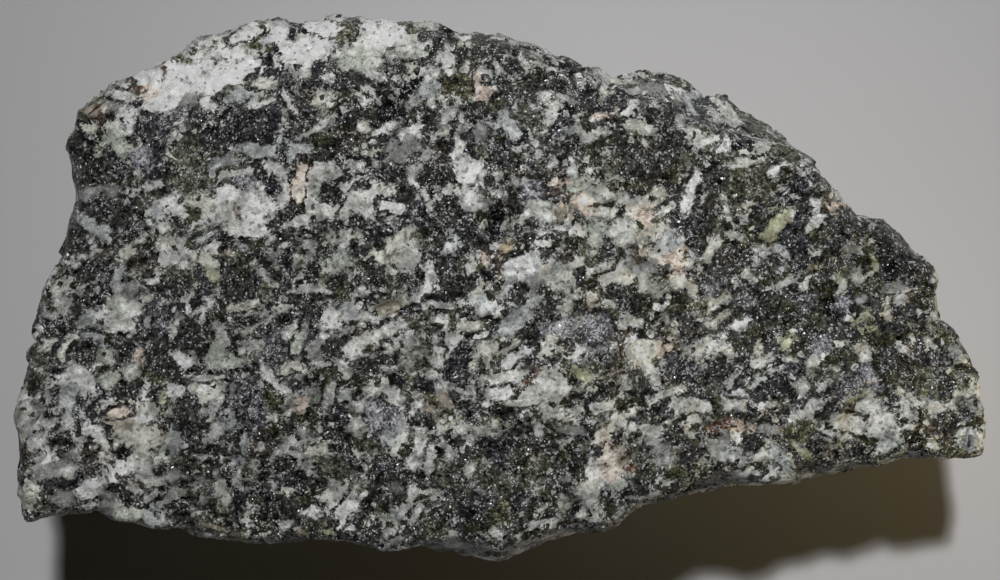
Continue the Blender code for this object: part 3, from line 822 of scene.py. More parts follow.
        (112, 119, 10, 9), (75, 150, 18, 24), (95, 170, 28, 28), (120, 213, 34, 16, -50),
        (70, 235, 15, 22), (135, 235, 36, 10), (90, 268, 46, 18), (175, 295, 20, 10, 30),
        (80, 302, 20, 16), (240, 181, 15, 7), (331, 195, 22, 24), (285, 211, 22, 10),
        (228, 290, 18, 28), (300, 310, 44, 12), (250, 320, 34, 9), (437, 45, 13, 22),
        (400, 66, 13, 11), (382, 88, 12, 12), (495, 50, 20, 11), (510, 65, 15, 15),
        (550, 85, 28, 10), (505, 92, 20, 12), (530, 97, 11, 7), (478, 107, 13, 8),
        (430, 120, 18, 26), (575, 145, 18, 18), (560, 150, 9, 11), (640, 165, 36, 32),
        (450, 212, 28, 22), (513, 192, 9, 18), (490, 182, 13, 11), (345, 180, 12, 12),
        (560, 235, 22, 8), (530, 225, 12, 12), (545, 257, 10, 9), (610, 248, 10, 20),
        (650, 108, 18, 18), (670, 118, 15, 26), (720, 125, 8, 8), (670, 147, 34, 26),
        (755, 217, 15, 12), (708, 205, 13, 44), (690, 242, 18, 12), (845, 225, 28, 18),
        (880, 231, 18, 12), (890, 247, 14, 14), (915, 270, 26, 26), (730, 255, 22, 20),
        (770, 262, 26, 14), (715, 270, 26, 9), (65, 325, 26, 12), (125, 346, 18, 26),
        (160, 350, 34, 18), (193, 330, 12, 34), (165, 364, 26, 14), (152, 396, 14, 12),
        (78, 403, 9, 14), (55, 441, 15, 12), (68, 436, 11, 9), (115, 490, 11, 13),
        (130, 501, 18, 12), (160, 470, 13, 13), (183, 472, 9, 9), (190, 420, 26, 44),
        (215, 448, 26, 9), (225, 470, 15, 14), (262, 488, 18, 12), (205, 346, 15, 26),
        (248, 368, 16, 9), (240, 341, 9, 15), (293, 385, 24, 12), (335, 346, 18, 26),
        (240, 508, 11, 18), (280, 505, 26, 16), (290, 425, 9, 13), (450, 280, 26, 34),
        (475, 285, 11, 9), (515, 291, 18, 14), (545, 312, 18, 14), (530, 336, 28, 16),
        (630, 300, 26, 18), (368, 365, 26, 12), (468, 308, 12, 8), (507, 413, 26, 14),
        (555, 362, 16, 13), (565, 350, 7, 12), (605, 355, 11, 9), (610, 391, 26, 17),
        (645, 386, 22, 12, -50), (570, 403, 13, 13), (430, 421, 9, 17), (460, 400, 14, 17),
        (475, 413, 13, 8), (520, 430, 15, 18), (550, 445, 13, 14), (690, 331, 18, 26),
        (740, 365, 28, 13), (730, 340, 13, 5), (770, 344, 14, 18), (715, 365, 18, 26),
        (770, 416, 38, 8), (800, 405, 11, 8), (672, 426, 17, 20), (847, 403, 7, 7),
        (890, 400, 9, 18), (838, 330, 14, 17), (907, 330, 17, 17), (920, 345, 13, 7),
        (905, 370, 17, 14), (965, 415, 26, 7), (750, 440, 14, 22), (820, 440, 13, 7),
        (850, 456, 50, 11), (790, 390, 9, 9), (610, 205, 8, 9), (805, 212, 11, 11),
        (80, 355, 34, 22), (408, 190, 24, 24, -30),
    ),
    "violet": (
        (152, 152, 18, 22), (285, 265, 14, 26), (270, 185, 14, 26), (590, 90, 8, 26),
        (702, 106, 13, 22), (688, 228, 18, 18), (800, 186, 18, 22), (795, 236, 22, 26),
        (750, 256, 9, 13), (95, 405, 13, 14), (460, 360, 22, 44), (222, 415, 8, 8),
        (676, 366, 20, 20), (770, 386, 44, 15), (655, 361, 10, 8), (945, 386, 14, 18),
        (380, 231, 28, 14), (402, 222, 12, 12), (430, 383, 20, 10), (240, 128, 60, 20),
        (465, 135, 9, 9),
    ),
    # Painted glints: cleavage faces of dark crystals painted in the pale grey of their reflection.
    "painted_glint_patch": (
        (253, 188, 18, 5, -45), (557, 330, 20, 9, 5), (533, 190, 12, 12), (372, 412, 10, 14),
        (390, 428, 8, 14), (870, 379, 14, 6, -62), (240, 461, 5, 5), (843, 303, 8, 8),
        (711, 287, 6, 5), (820, 343, 10, 8), (580, 322, 24, 8), (142, 160, 12, 16),
    ),
}


# The crystals in between: how far a middle strays in its cube, the least size and tint and what
# chance adds, then the share of an oval's value that counts, and from which height up.
MIDDLE_FROM, MIDDLE_STRAY = 0.1, 0.8
LEAST_SIZE, ADDED_SIZE = 0.65, 0.7
LEAST_TINT, ADDED_TINT = 0.72, 0.5
RICHER_SHARE = 0.55
RICHER_SLIM_AT_MOST = 0.15
RICHER_HEIGHTS = (9.0, 15.0)

# A measure that no crystal close by reaches.
FAR_OUTSIDE = 9.0

# How far single crystals stand out in millimetres, by chance and for each millimetre of lean.
CRYSTAL_RELIEF = 0.42
CRYSTAL_LEAN = 0.22
LEAN_REACH = 1.2

# Bends of the crystals' edges: millimetres moved, size of a bend and first seed.
EDGE_BENDS = ((0.20, 1.2, 81), (0.55, 3.4, 84))

# Outlines of the placed crystals: reading steps moved, size of a bend, seeds across and down.
# Small and slim crystals keep a firmer outline.
OUTLINE_BENDS = ((5.0, 2.6, 71, 72), (4.5, 1.0, 73, 74))
OUTLINE_REACH = 20
SLIM_BELOW = 0.5
SLIM_POWER, STOUT_POWER = 5.0, 3.0
SLIM_LOOSE, STOUT_LOOSE, LOOSE_BY_SIZE = 0.1, 0.35, 0.035
STOUT_CALM = 0.75
OUTSIDE_REACH = 0.4
# How the painted glints fade in at the edge of a placed crystal.
PAINTED_GLINT_FADE = (-0.2, 0.3)
CALM_EDGE = (-0.15, 0.15)

# Placed crystals lie only where the surface faces up by this much, and sink away before that.
FACING_UP = (0.0, 0.22)
SIDE_SINK = 3.0

# The white patch on the bevel along the upper left edge, which faces the lamp: real pale crystals
# with a painted highlight over them. Calm, plain painted white and extra painted white in places,
# with the size and seed of those places, and their edge.
HIGHLIGHT_CAP_CALM = 0.6
HIGHLIGHT_CAP_EVEN = 0.18
HIGHLIGHT_CAP_IN_PLACES = 0.66
HIGHLIGHT_CAP_PLACES = (2.2, 91)
HIGHLIGHT_CAP_EDGE = (-0.15, 0.40)

# Slow shades in the pale tints: strength, size and seed. Then how much the painted highlight
# lifts the pale tints on the upper left bevel.
PALE_SHADES = ((0.22, 1.5, 98), (0.12, 0.8, 99))
HIGHLIGHT_CAP_LIFT = 0.15


def random_of(ids, seed):
    """Values from 0 to 1 for whole-number triples."""
    return 0.5 * (lattice_value(ids[:, 0], ids[:, 1], ids[:, 2], seed) + 1.0)


def choose(choices, value):
    """The tint picked from weighted choices by values from 0 to 1."""
    names, shares = zip(*choices)
    picked = np.searchsorted(np.cumsum(shares)[:-1], value)
    return np.array([TINTS[name] for name in names])[picked]


def depth_in(across, down, spot, power):
    """How deep readings lie inside a turned oval or box, in reading steps, negative outside."""
    x = across - spot[0]
    y = spot[1] - down
    turn = math.radians(spot[4])
    along = np.abs(x * math.cos(turn) + y * math.sin(turn)) / (0.5 * spot[2])
    beside = np.abs(y * math.cos(turn) - x * math.sin(turn)) / (0.5 * spot[3])
    reach = np.power(np.power(along, power) + np.power(beside, power), 1.0 / power)
    return (1.0 - reach) * 0.5 * min(spot[2], spot[3])


def soft_oval(across, down, spot):
    """One in the middle half of an oval, falling to zero at its edge."""
    return np.clip(depth_in(across, down, spot, 2.0) / (0.25 * min(spot[2], spot[3])), 0.0, 1.0)


def richness(across, down):
    """How much richer in pale crystals each reading is: soft ovals, added up."""
    return sum(spot[5] * soft_oval(across, down, spot) for spot in RICHER)


def crystal_lattice():
    """The crystals that fill the stone: middle, axes, half sizes, kind, tint and level of each."""
    ids = np.array(list(np.ndindex(*LATTICE_CUBES)))
    random = np.column_stack([random_of(ids, LATTICE_SEED + k) for k in range(15)])
    stray, along, aside = random[:, 0:3], random[:, 3:6] * 2.0 - 1.0, random[:, 6:9] * 2.0 - 1.0
    for_slim, for_size, for_pale, for_tint, for_shade, for_level = random[:, 9:].T
    middle = ids + MIDDLE_FROM + MIDDLE_STRAY * stray
    middle = np.array(LATTICE_LOW) + middle * LATTICE_CELL
    along += np.array(GRAIN_DIRECTION) * GRAIN_PULL * np.sign(along[:, :1])
    along /= np.linalg.norm(along, axis=1)[:, None] + 1e-9
    second = np.cross(along, aside)
    second /= np.linalg.norm(second, axis=1)[:, None] + 1e-9
    axes = np.stack([along, second, np.cross(along, second)], axis=1)
    slim = for_slim < SLIM_SHARE
    sizes = np.where(slim[:, None], np.array(SLIM_CRYSTAL), np.array(STOUT_CRYSTAL))
    sizes = sizes * (LEAST_SIZE + ADDED_SIZE * for_size)[:, None]
    across, down = as_seen(middle)
    richer = RICHER_SHARE * richness(across, down) * ease(middle[:, 2], *RICHER_HEIGHTS)
    for size, strength in CLUSTERS:
        richer = richer + strength * noise(middle, size, CLUSTER_SEED)
    share = np.where(slim, PALE_SHARE_SLIM, PALE_SHARE_STOUT)
    share = share + np.where(slim, np.minimum(richer, RICHER_SLIM_AT_MOST), richer)
    is_pale = for_pale < share
    pale, dark = choose(PALE_CHOICES, for_tint), choose(DARK_CHOICES, for_tint)
    tint = np.where(is_pale[:, None], pale, dark)
    tint = tint * (LEAST_TINT + ADDED_TINT * for_shade)[:, None]
    return middle, axes, sizes, is_pale, tint, for_level - 0.5


def crystal_mosaic(points):
    """Which crystal of the lattice each point lies in.

    A point belongs to the crystal whose own measure is least: along each of its axes the distance
    from its middle over its half size, the three joined as the cube root of their summed cubes.
    Returns the depth in pale crystal in millimetres (half the difference between the least measure
    of the dark crystals and that of the pale ones), the tints of the two and the relief.
    """
    middle, axes, sizes, is_pale, tint, level = crystal_lattice()
    base = np.floor((points - np.array(LATTICE_LOW)) / LATTICE_CELL).astype(np.int64)
    least = [np.full(len(points), FAR_OUTSIDE), np.full(len(points), FAR_OUTSIDE)]
    owner = [np.zeros(len(points), np.int64), np.zeros(len(points), np.int64)]
    for shift in np.ndindex(3, 3, 3):
        cube = np.clip(base + np.array(shift) - 1, 0, np.array(LATTICE_CUBES) - 1)
        number = (cube[:, 0] * LATTICE_CUBES[1] + cube[:, 1]) * LATTICE_CUBES[2] + cube[:, 2]
        away = points - middle[number]
        local = np.abs(np.einsum("nij,nj->ni", axes[number], away)) / sizes[number]
        measure = np.cbrt((local * local * local).sum(1))
        for kind in (0, 1):
            closer = (measure < least[kind]) & (is_pale[number] == bool(kind))
            least[kind] = np.where(closer, measure, least[kind])
            owner[kind] = np.where(closer, number, owner[kind])
    depth = 0.5 * (least[0] - least[1]) * STOUT_CRYSTAL[2]
    nearest = np.where(depth > 0.0, owner[1], owner[0])
    lean = np.einsum("ni,ni->n", axes[nearest][:, 2], points - middle[nearest])
    relief = CRYSTAL_RELIEF * level[nearest] + CRYSTAL_LEAN * np.clip(lean, -LEAN_REACH, LEAN_REACH)
    return depth, tint[owner[1]], tint[owner[0]], relief


def mixed(a, b, share):
    return a + (np.array(b) - a) * np.clip(share, 0.0, 1.0)[:, None]


def place_crystal(stone, kind, spot, facing):
    """Write one crystal that stands out over the mosaic, its outline bent and its tint even."""
    smaller, larger = min(spot[2], spot[3]), max(spot[2], spot[3])
    slim = smaller / larger < SLIM_BELOW
    if len(spot) == 4:
        change = LEAN_CHANGE[0] * spot[0] + LEAN_CHANGE[1] * spot[1]
        spot = spot + (LEAN + LEAN_SPREAD * math.sin(change),)
    loose = min(1.0, LOOSE_BY_SIZE * smaller + (SLIM_LOOSE if slim else STOUT_LOOSE))
    away = np.abs(stone["across"] - spot[0]) + np.abs(stone["down"] - spot[1])
    near = away < spot[2] + spot[3] + OUTLINE_REACH
    index = np.flatnonzero(near & (facing > 0.0))
    inside = depth_in(stone["across"][index] + loose * stone["shift_x"][index],
                      stone["down"][index] + loose * stone["shift_y"][index],
                      spot, SLIM_POWER if slim else STOUT_POWER)
    inside = inside * READ_STEP - SIDE_SINK * (1.0 - facing[index])
    own = index[inside > -OUTSIDE_REACH]
    inside = inside[inside > -OUTSIDE_REACH]
    depth = stone["depth"]
    if kind in DARK_TINTS:
        depth[own] = np.minimum(depth[own], -inside)
        stone["dark_tint"][own] = TINTS[kind]
        # Painted glints in the crystals that carry them.
        if kind in PAINTED_GLINT_KINDS:
            shine = PAINTED_GLINT_KINDS[kind] * ease(inside, *PAINTED_GLINT_FADE)
            stone["painted_glints"][own] = np.maximum(stone["painted_glints"][own], shine)
    else:
        if slim:
            depth[own] = np.where(inside < 0.0, np.minimum(depth[own], inside), depth[own])
        depth[own] = np.maximum(depth[own], inside)
        stone["pale_tint"][own] = TINTS[kind]
    quiet = (1.0 if slim else STOUT_CALM) * ease(inside, *CALM_EDGE)
    stone["calm"][own] = np.maximum(stone["calm"][own], quiet)


def minerals(points, normals):
    """What the stone is made of at each point: depth in pale crystal, tints with a painted
    highlight on the upper left bevel, painted glints and calm.

    The relief of the single crystals comes beside it.
    """
    ragged = points
    for reach, size, seed in EDGE_BENDS:
        ragged = ragged + reach * np.column_stack([noise(points, size, seed + k) for k in range(3)])
    stone = {}
    stone["depth"], stone["pale_tint"], stone["dark_tint"], relief = crystal_mosaic(ragged)
    across, down = as_seen(points)
    stone["across"], stone["down"] = across, down
    facing = ease(normals[:, 2], *FACING_UP)
    # Painted highlight: on the bevel along the upper left edge the pale tints are pushed towards
    # white and lifted.
    highlight_cap = facing * np.maximum(*[soft_oval(across, down, spot) for spot in RICHER[:2]])
    places = ease(noise(points, *HIGHLIGHT_CAP_PLACES), *HIGHLIGHT_CAP_EDGE)
    whiter = HIGHLIGHT_CAP_EVEN + HIGHLIGHT_CAP_IN_PLACES * places
    stone["pale_tint"] = mixed(stone["pale_tint"], TINTS["bright"], highlight_cap * whiter)
    stone["shift_x"] = sum(reach * noise(points, size, x) for reach, size, x, y in OUTLINE_BENDS)
    stone["shift_y"] = sum(reach * noise(points, size, y) for reach, size, x, y in OUTLINE_BENDS)
    stone["painted_glints"] = np.zeros(len(points))
    stone["calm"] = HIGHLIGHT_CAP_CALM * highlight_cap
    for kind, spots in CRYSTALS.items():
        for spot in spots:
            place_crystal(stone, kind, spot, facing)
    tone_and_highlight = 1.0 + HIGHLIGHT_CAP_LIFT * highlight_cap
    for strength, size, seed in PALE_SHADES:
        tone_and_highlight = tone_and_highlight + strength * noise(points, size, seed)
    stone["pale_tint"] = stone["pale_tint"] * tone_and_highlight[:, None]
    return stone, relief


# Materials.

# Sizes in millimetres of the flakes, the grains and the grit.
COARSE_CELL = 0.60
MEDIUM_CELL = 0.30
FINE_CELL = 0.15

# Clouds: size in millimetres, detail and roughness.
SLOW_CLOUD = (1.7, 2.0, 0.55)
RAGGED_CLOUD = (0.55, 5.0, 0.68)
PALE_CLOUD = (1.1, 5.0, 0.68)
DARK_CLOUD = (0.9, 4.0, 0.62)
CALM_CLOUD = (0.5, 4.0, 0.6)

# Two families of streaks: direction in degrees, length over width, then a cloud's three values.
RISING_STREAKS = (22.0, 4.5, (0.28, 3.0, 0.6))
FALLING_STREAKS = (-50.0, 4.0, (0.25, 3.0, 0.6))

# How far a texture moves the edge of a pale crystal, in millimetres, and the share of that which
# is left in a calm place.
RAGGED_REACH = (0.72, 0.6)
STREAK_REACH = (0.46, 0.6)
COARSE_REACH = (0.30, 0.3)
MEDIUM_REACH = (0.26, 0.5)

# Ramps, here and below: the texture's value at either end, then what it gives there, or else a
# rise from 0 to 1. These choose a family of streaks and move the edge of a pale crystal, by
# flakes of the other mineral, by pale hairs and by dark cracks.
STREAK_CHOICE = (0.45, 0.55)
STRAY_DARK = (0.93, 0.94, 0.0, 0.7)
STRAY_PALE = (0.05, 0.06, 0.6, 0.0)
HAIR = (0.62, 0.68, 0.0, 0.42)
CRACK = (0.31, 0.37, 0.40, 0.0)

# From the dark ground to the pale crystal: across a crisp edge and a soft one, in millimetres,
# the share of the soft one, and the edge between their bumps.
CRISP_EDGE = (-0.04, 0.05)
SOFT_EDGE = (-0.20, 0.24)
SOFT_SHARE = (0.42, 0.56, 0.60, 0.10)
BUMP_EDGE = (-0.12, 0.12)

# What lightens and darkens the pale crystals, and the dark specks in them.
CLOUD_TONE = (0.30, 0.70, 0.68, 1.34)
FIBRE_TONE = (0.30, 0.70, 0.84, 1.16)
FLAKE_TONE = (0.0, 1.0, 0.76, 1.24)
GRIT_TONE = (0.0, 1.0, 0.80, 1.20)
BODY_TONE = (0.0, 0.45, 0.92, 1.27)
PALEST = (0.97, 0.97, 0.95)
SPECK_SHARE = (0.93, 0.95, 0.0, 0.6)
SPECK_COLOUR = (0.06, 0.06, 0.055)

# The same for the ground, and its painted glints, white flecks that stand for sparkle off tiny
# facets: the least value of a fine grain that is one, for how much the crystal glitters, less in
# some places and on some flakes.
PATCH_TONE = (0.35, 0.65, 0.14, 1.85)
GRAIN_TONE = (0.0, 1.0, 0.30, 1.55)
MOTTLE_TONE = (0.0, 1.0, 0.45, 1.65)
PAINTED_GLINT_LEAST = (0.0, 1.0, 0.90, 0.36)
PAINTED_GLINT_PLACES = (0.40, 0.62, -0.06, 0.16)
PAINTED_GLINT_FLAKES = (0.25, 0.85, 0.10, -0.12)
PAINTED_GLINT_EDGE = (0.0, 0.12)
PAINTED_GLINT_LIGHT = (0.0, 1.0, 0.75, 1.0)
PAINTED_GLINT_COLOUR = (0.70, 0.70, 0.70)

DARK_ROUGHNESS = (0.0, 1.0, 0.20, 0.46)
PALE_ROUGHNESS = 0.46

# Leaning facets of the dark ground, as size in millimetres and slope, and what the pale crystals
# keep of the broad ones, with a cloud of their own in metres of height.
BROAD_FACETS = (0.5, 1.1)
FINE_FACETS = (0.22, 1.2)
PALE_FACETS = 0.45
CALM_HEIGHT = 0.00010


def new_node(tree, kind, **values):
    node = tree.nodes.new(kind)
    for name, value in values.items():
        setattr(node, name, value)
    return node


def feed(tree, slot, value):
    """Put a number or a tuple into an input, or link another node's output to it."""
    if isinstance(value, (int, float, tuple)):
        slot.default_value = value
    else:
        tree.links.new(value, slot)


def math_node(tree, operation, *inputs):
    node = new_node(tree, "ShaderNodeMath", operation=operation)
    for slot, value in zip(node.inputs, inputs):
        feed(tree, slot, value)
    return node.outputs[0]


def vector_node(tree, operation, *inputs):
    node = new_node(tree, "ShaderNodeVectorMath", operation=operation)
    for slot, value in zip(node.inputs, inputs):
        feed(tree, slot, (value, value, value) if isinstance(value, float) else value)
    return node.outputs["Value"] if operation == "DOT_PRODUCT" else node.outputs[0]


def scaled(tree, vector, factor):
    node = new_node(tree, "ShaderNodeVectorMath", operation="SCALE")
    feed(tree, node.inputs[0], vector)
    feed(tree, node.inputs["Scale"], factor)
    return node.outputs[0]


def range_node(tree, value, low, high, to_low=0.0, to_high=1.0, shape="SMOOTHSTEP"):
    node = new_node(tree, "ShaderNodeMapRange", clamp=True, interpolation_type=shape)
    names = ("Value", "From Min", "From Max", "To Min", "To Max")
    for name, given in zip(names, (value, low, high, to_low, to_high)):
        feed(tree, node.inputs[name], given)
    return node.outputs[0]


def line_node(tree, value, low, high, to_low, to_high):
    return range_node(tree, value, low, high, to_low, to_high, "LINEAR")


def mix_colours(tree, share, first, second):
    node = new_node(tree, "ShaderNodeMix", data_type="RGBA")
    for number, value in ((0, share), (6, first), (7, second)):
        feed(tree, node.inputs[number], value + (1.0,) if isinstance(value, tuple) else value)
    return node.outputs[2]


def mix_values(tree, share, first, second):
    node = new_node(tree, "ShaderNodeMix", data_type="FLOAT")
    for number, value in ((0, share), (2, first), (3, second)):
        feed(tree, node.inputs[number], value)
    return node.outputs[0]


def noise_node(tree, place, size_mm, detail, roughness):
    node = new_node(tree, "ShaderNodeTexNoise", noise_dimensions="3D")
    feed(tree, node.inputs["Vector"], place)
    feed(tree, node.inputs["Scale"], 1.0 / (size_mm * METRES_PER_MM))
    feed(tree, node.inputs["Detail"], detail)
    feed(tree, node.inputs["Roughness"], roughness)
    return node.outputs["Fac"]


def cells_node(tree, place, size_mm):
    """Cells round scattered middles: a random colour each, and the middle's place."""
    node = new_node(tree, "ShaderNodeTexVoronoi", voronoi_dimensions="3D", feature="F1")
    feed(tree, node.inputs["Vector"], place)
    feed(tree, node.inputs["Scale"], 1.0 / (size_mm * METRES_PER_MM))
    return node.outputs["Color"], node.outputs["Position"]


def cell_values(tree, place, size_mm):
    """Three random values from 0 to 1, each the same all over a cell."""
    parts = new_node(tree, "ShaderNodeSeparateColor")
    feed(tree, parts.inputs[0], cells_node(tree, place, size_mm)[0])
    return parts.outputs


def stretched(tree, place, degrees, stretch):
    """Places drawn out along a direction in the plane of the broad face."""
    turn = math.radians(degrees)
    way = (math.cos(turn), math.sin(turn), 0.0)
    along = vector_node(tree, "DOT_PRODUCT", place, way)
    shift = scaled(tree, way, math_node(tree, "MULTIPLY", along, 1.0 - 1.0 / stretch))
    return vector_node(tree, "SUBTRACT", place, shift)


def facet_height(tree, place, size_mm, slope):
    """Each cell is a small flat facet that leans its own way."""
    colour, middle = cells_node(tree, place, size_mm)
    lean = vector_node(tree, "SUBTRACT", colour, 0.5)
    away = vector_node(tree, "SUBTRACT", place, middle)
    return math_node(tree, "MULTIPLY", vector_node(tree, "DOT_PRODUCT", lean, away), slope)


def attribute(tree, name, output):
    node = new_node(tree, "ShaderNodeAttribute", attribute_name=name, attribute_type="GEOMETRY")
    return node.outputs[output]


def product(tree, first, *others):
    for value in others:
        first = math_node(tree, "MULTIPLY", first, value)
    return first


def streaks(tree, place, slow):
    """Streaks that rise to the right in some places and fall in the others."""
    families = []
    for degrees, stretch, cloud in (RISING_STREAKS, FALLING_STREAKS):
        families.append(noise_node(tree, stretched(tree, place, degrees, stretch), *cloud))
    return mix_values(tree, range_node(tree, slow, *STREAK_CHOICE), *families)


def ragged_depth(tree, place, streak, coarse, medium):
    """Depth in pale crystal: that of the mosaic, moved by textures, strays, hairs and cracks."""
    loose = math_node(tree, "SUBTRACT", 1.0, attribute(tree, "calm", "Fac"))
    edge = attribute(tree, "pale_depth", "Fac")
    ragged = noise_node(tree, place, *RAGGED_CLOUD)
    for value, (reach, kept) in (
        (ragged, RAGGED_REACH), (streak, STREAK_REACH),
        (coarse[0], COARSE_REACH), (medium[0], MEDIUM_REACH),
    ):
        free = line_node(tree, loose, 0.0, 1.0, reach * kept, reach)
        move = product(tree, math_node(tree, "SUBTRACT", value, 0.5), free)
        edge = math_node(tree, "ADD", edge, move)
    stray_dark = range_node(tree, coarse[2], *STRAY_DARK)
    stray_pale = range_node(tree, coarse[2], *STRAY_PALE)
    stray = product(tree, math_node(tree, "SUBTRACT", stray_pale, stray_dark), loose)
    hair = range_node(tree, streak, *HAIR)
    crack = range_node(tree, streak, *CRACK)
    thin = math_node(tree, "SUBTRACT", hair, crack)
    return math_node(tree, "ADD", edge, math_node(tree, "ADD", stray, thin))


def pale_colour(tree, place, edge, streak, coarse, medium, fine):
    """The crystal's tint, clouded, streaked and flaked, a little duller near its edge."""
    tone = product(
        tree,
        line_node(tree, noise_node(tree, place, *PALE_CLOUD), *CLOUD_TONE),
        line_node(tree, streak, *FIBRE_TONE),
        line_node(tree, coarse[1], *FLAKE_TONE),
        line_node(tree, fine[2], *GRIT_TONE),
        range_node(tree, edge, *BODY_TONE),
    )
    pale = scaled(tree, attribute(tree, "pale_tint", "Color"), tone)
    pale = vector_node(tree, "MINIMUM", pale, PALEST)
    return mix_colours(tree, range_node(tree, medium[1], *SPECK_SHARE), pale, SPECK_COLOUR)


def dark_colour(tree, place, slow, coarse, medium, fine):
    """The ground's tint in patches of fine grains, with bright flecks that crowd in some grains."""
    patch = line_node(tree, noise_node(tree, place, *DARK_CLOUD), *PATCH_TONE)
    grain = line_node(tree, fine[0], *GRAIN_TONE)
    mottle = line_node(tree, medium[0], *MOTTLE_TONE)
    dark = scaled(tree, attribute(tree, "dark_tint", "Color"), product(tree, patch, grain, mottle))
    painted_glints = attribute(tree, "painted_glints", "Fac")
    least = line_node(tree, painted_glints, *PAINTED_GLINT_LEAST)
    least = math_node(tree, "SUBTRACT", least, range_node(tree, slow, *PAINTED_GLINT_PLACES))
    least = math_node(tree, "ADD", least, range_node(tree, coarse[0], *PAINTED_GLINT_FLAKES))
    glint_fleck = range_node(tree, math_node(tree, "SUBTRACT", fine[1], least), *PAINTED_GLINT_EDGE)
    # The ground's tint in patches of fine grains, with painted glints: white flecks that crowd in
    # some grains.
    glint_flecks = product(tree, glint_fleck, patch, line_node(tree, painted_glints, *PAINTED_GLINT_LIGHT))
    return mix_colours(tree, glint_flecks, dark, PAINTED_GLINT_COLOUR)


def surface_height(tree, place):
    """Leaning facets in the dark ground, gentler ones under a fine cloud in the pale crystals."""
    broad = facet_height(tree, place, *BROAD_FACETS)
    facets = math_node(tree, "ADD", broad, facet_height(tree, place, *FINE_FACETS))
    calm = product(tree, noise_node(tree, place, *CALM_CLOUD), CALM_HEIGHT)
    calm = math_node(tree, "ADD", calm, product(tree, broad, PALE_FACETS))
    depth = attribute(tree, "pale_depth", "Fac")
    return mix_values(tree, range_node(tree, depth, *BUMP_EDGE), facets, calm)


def diabase_material():
    """Pale laths and patches, soft at their edges, in a dark ground of tiny leaning facets and
    painted glints.
    """
    material = bpy.data.materials.new("diabase")
    material.use_nodes = True
    tree = material.node_tree
    shader = tree.nodes["Principled BSDF"]
    place = new_node(tree, "ShaderNodeTexCoord").outputs["Object"]
    coarse = cell_values(tree, place, COARSE_CELL)
    medium = cell_values(tree, place, MEDIUM_CELL)
    fine = cell_values(tree, place, FINE_CELL)
    slow = noise_node(tree, place, *SLOW_CLOUD)
    streak = streaks(tree, place, slow)
    edge = ragged_depth(tree, place, streak, coarse, medium)
    crisp = range_node(tree, edge, *CRISP_EDGE)
    soft = range_node(tree, edge, *SOFT_EDGE)
    is_pale = mix_values(tree, range_node(tree, slow, *SOFT_SHARE), crisp, soft)
    pale = pale_colour(tree, place, edge, streak, coarse, medium, fine)
    dark = dark_colour(tree, place, slow, coarse, medium, fine)
    gloss = line_node(tree, medium[2], *DARK_ROUGHNESS)
    feed(tree, shader.inputs["Base Color"], mix_colours(tree, is_pale, dark, pale))
    feed(tree, shader.inputs["Roughness"], mix_values(tree, is_pale, gloss, PALE_ROUGHNESS))
    bump = new_node(tree, "ShaderNodeBump")
    feed(tree, bump.inputs["Strength"], 1.0)
    feed(tree, bump.inputs["Distance"], 1.0)
    feed(tree, bump.inputs["Height"], surface_height(tree, place))
    feed(tree, shader.inputs["Normal"], bump.outputs["Normal"])
    return material


def add_stone():
    points, quads, triangles = stone_grid()
    normals = normals_of(points, quads, triangles)
    stone, relief = minerals(points, normals)
    points = points + normals * relief[:, None]
    points[:, 2] = np.maximum(points[:, 2], 0.0)
    mesh = bpy.data.meshes.new("diabase_stone")
    mesh.vertices.add(len(points))
    mesh.vertices.foreach_set("co", (points * METRES_PER_MM).astype(np.float32).ravel())
    corners = np.concatenate([quads.ravel(), triangles.ravel()]).astype(np.int32)
    starts = np.concatenate([np.arange(len(quads)) * 4, quads.size + np.arange(len(triangles)) * 3])
    mesh.loops.add(len(corners))
    mesh.loops.foreach_set("vertex_index", corners)
    mesh.polygons.add(len(starts))
    mesh.polygons.foreach_set("loop_start", starts.astype(np.int32))
    mesh.update(calc_edges=True)
    mesh.validate()
    mesh.polygons.foreach_set("use_smooth", np.ones(len(mesh.polygons), bool))
    for name, key in (("pale_depth", "depth"), ("painted_glints", "painted_glints"), ("calm", "calm")):
        values = mesh.attributes.new(name, "FLOAT", "POINT").data
        values.foreach_set("value", stone[key].astype(np.float32))
    for name in ("pale_tint", "dark_tint"):
        full = np.column_stack([stone[name], np.ones(len(points))]).astype(np.float32)
        mesh.attributes.new(name, "FLOAT_COLOR", "POINT").data.foreach_set("color", full.ravel())
    piece = bpy.data.objects.new("diabase_stone", mesh)
    bpy.context.scene.collection.objects.link(piece)
    mesh.materials.append(diabase_material())
    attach(piece, "root")
    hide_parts("stone")


# Floor, lights and camera.

FLOOR_REACH = 3.0
PAPER_COLOUR = (0.62, 0.61, 0.61, 1.0)
PAPER_ROUGHNESS = 0.9
PAPER_SHINE = 0.1

# The key light: degrees above the paper, metres away, then the even part and the beam in it, with
# their angles in degrees and their strengths.
KEY_RISE = 61.5
KEY_DISTANCE = 2.0
KEY_COLOUR = (0.98, 0.985, 1.0)
EVEN_STRENGTH = 1.40
EVEN_SPREAD = 6.0
EVEN_TARGET = (0.0, 0.0, 0.0)
BEAM_POWER = 52.0
BEAM_CONE = 5.3
BEAM_RADIUS = 0.060
BEAM_TARGET = (0.020, 0.010, 0.0)

# The weak warm light in the shadow: degrees clockwise from +Y and above the paper, metres away.
FILL_TURN = 106.0
FILL_RISE = 16.0
FILL_DISTANCE = 0.118
FILL_SIZE = 0.03
FILL_POWER = 0.0031
FILL_COLOUR = (1.0, 0.80, 0.42)
FILL_SPREAD = 80.0
FILL_TARGET = (0.0, 0.0, 0.015)

ROOM_COLOUR = (1.0, 0.85, 0.55, 1.0)
ROOM_STRENGTH = 0.0003

# What the camera sees, from and to, in metres.
SEES_FROM, SEES_TO = 0.01, 10.0


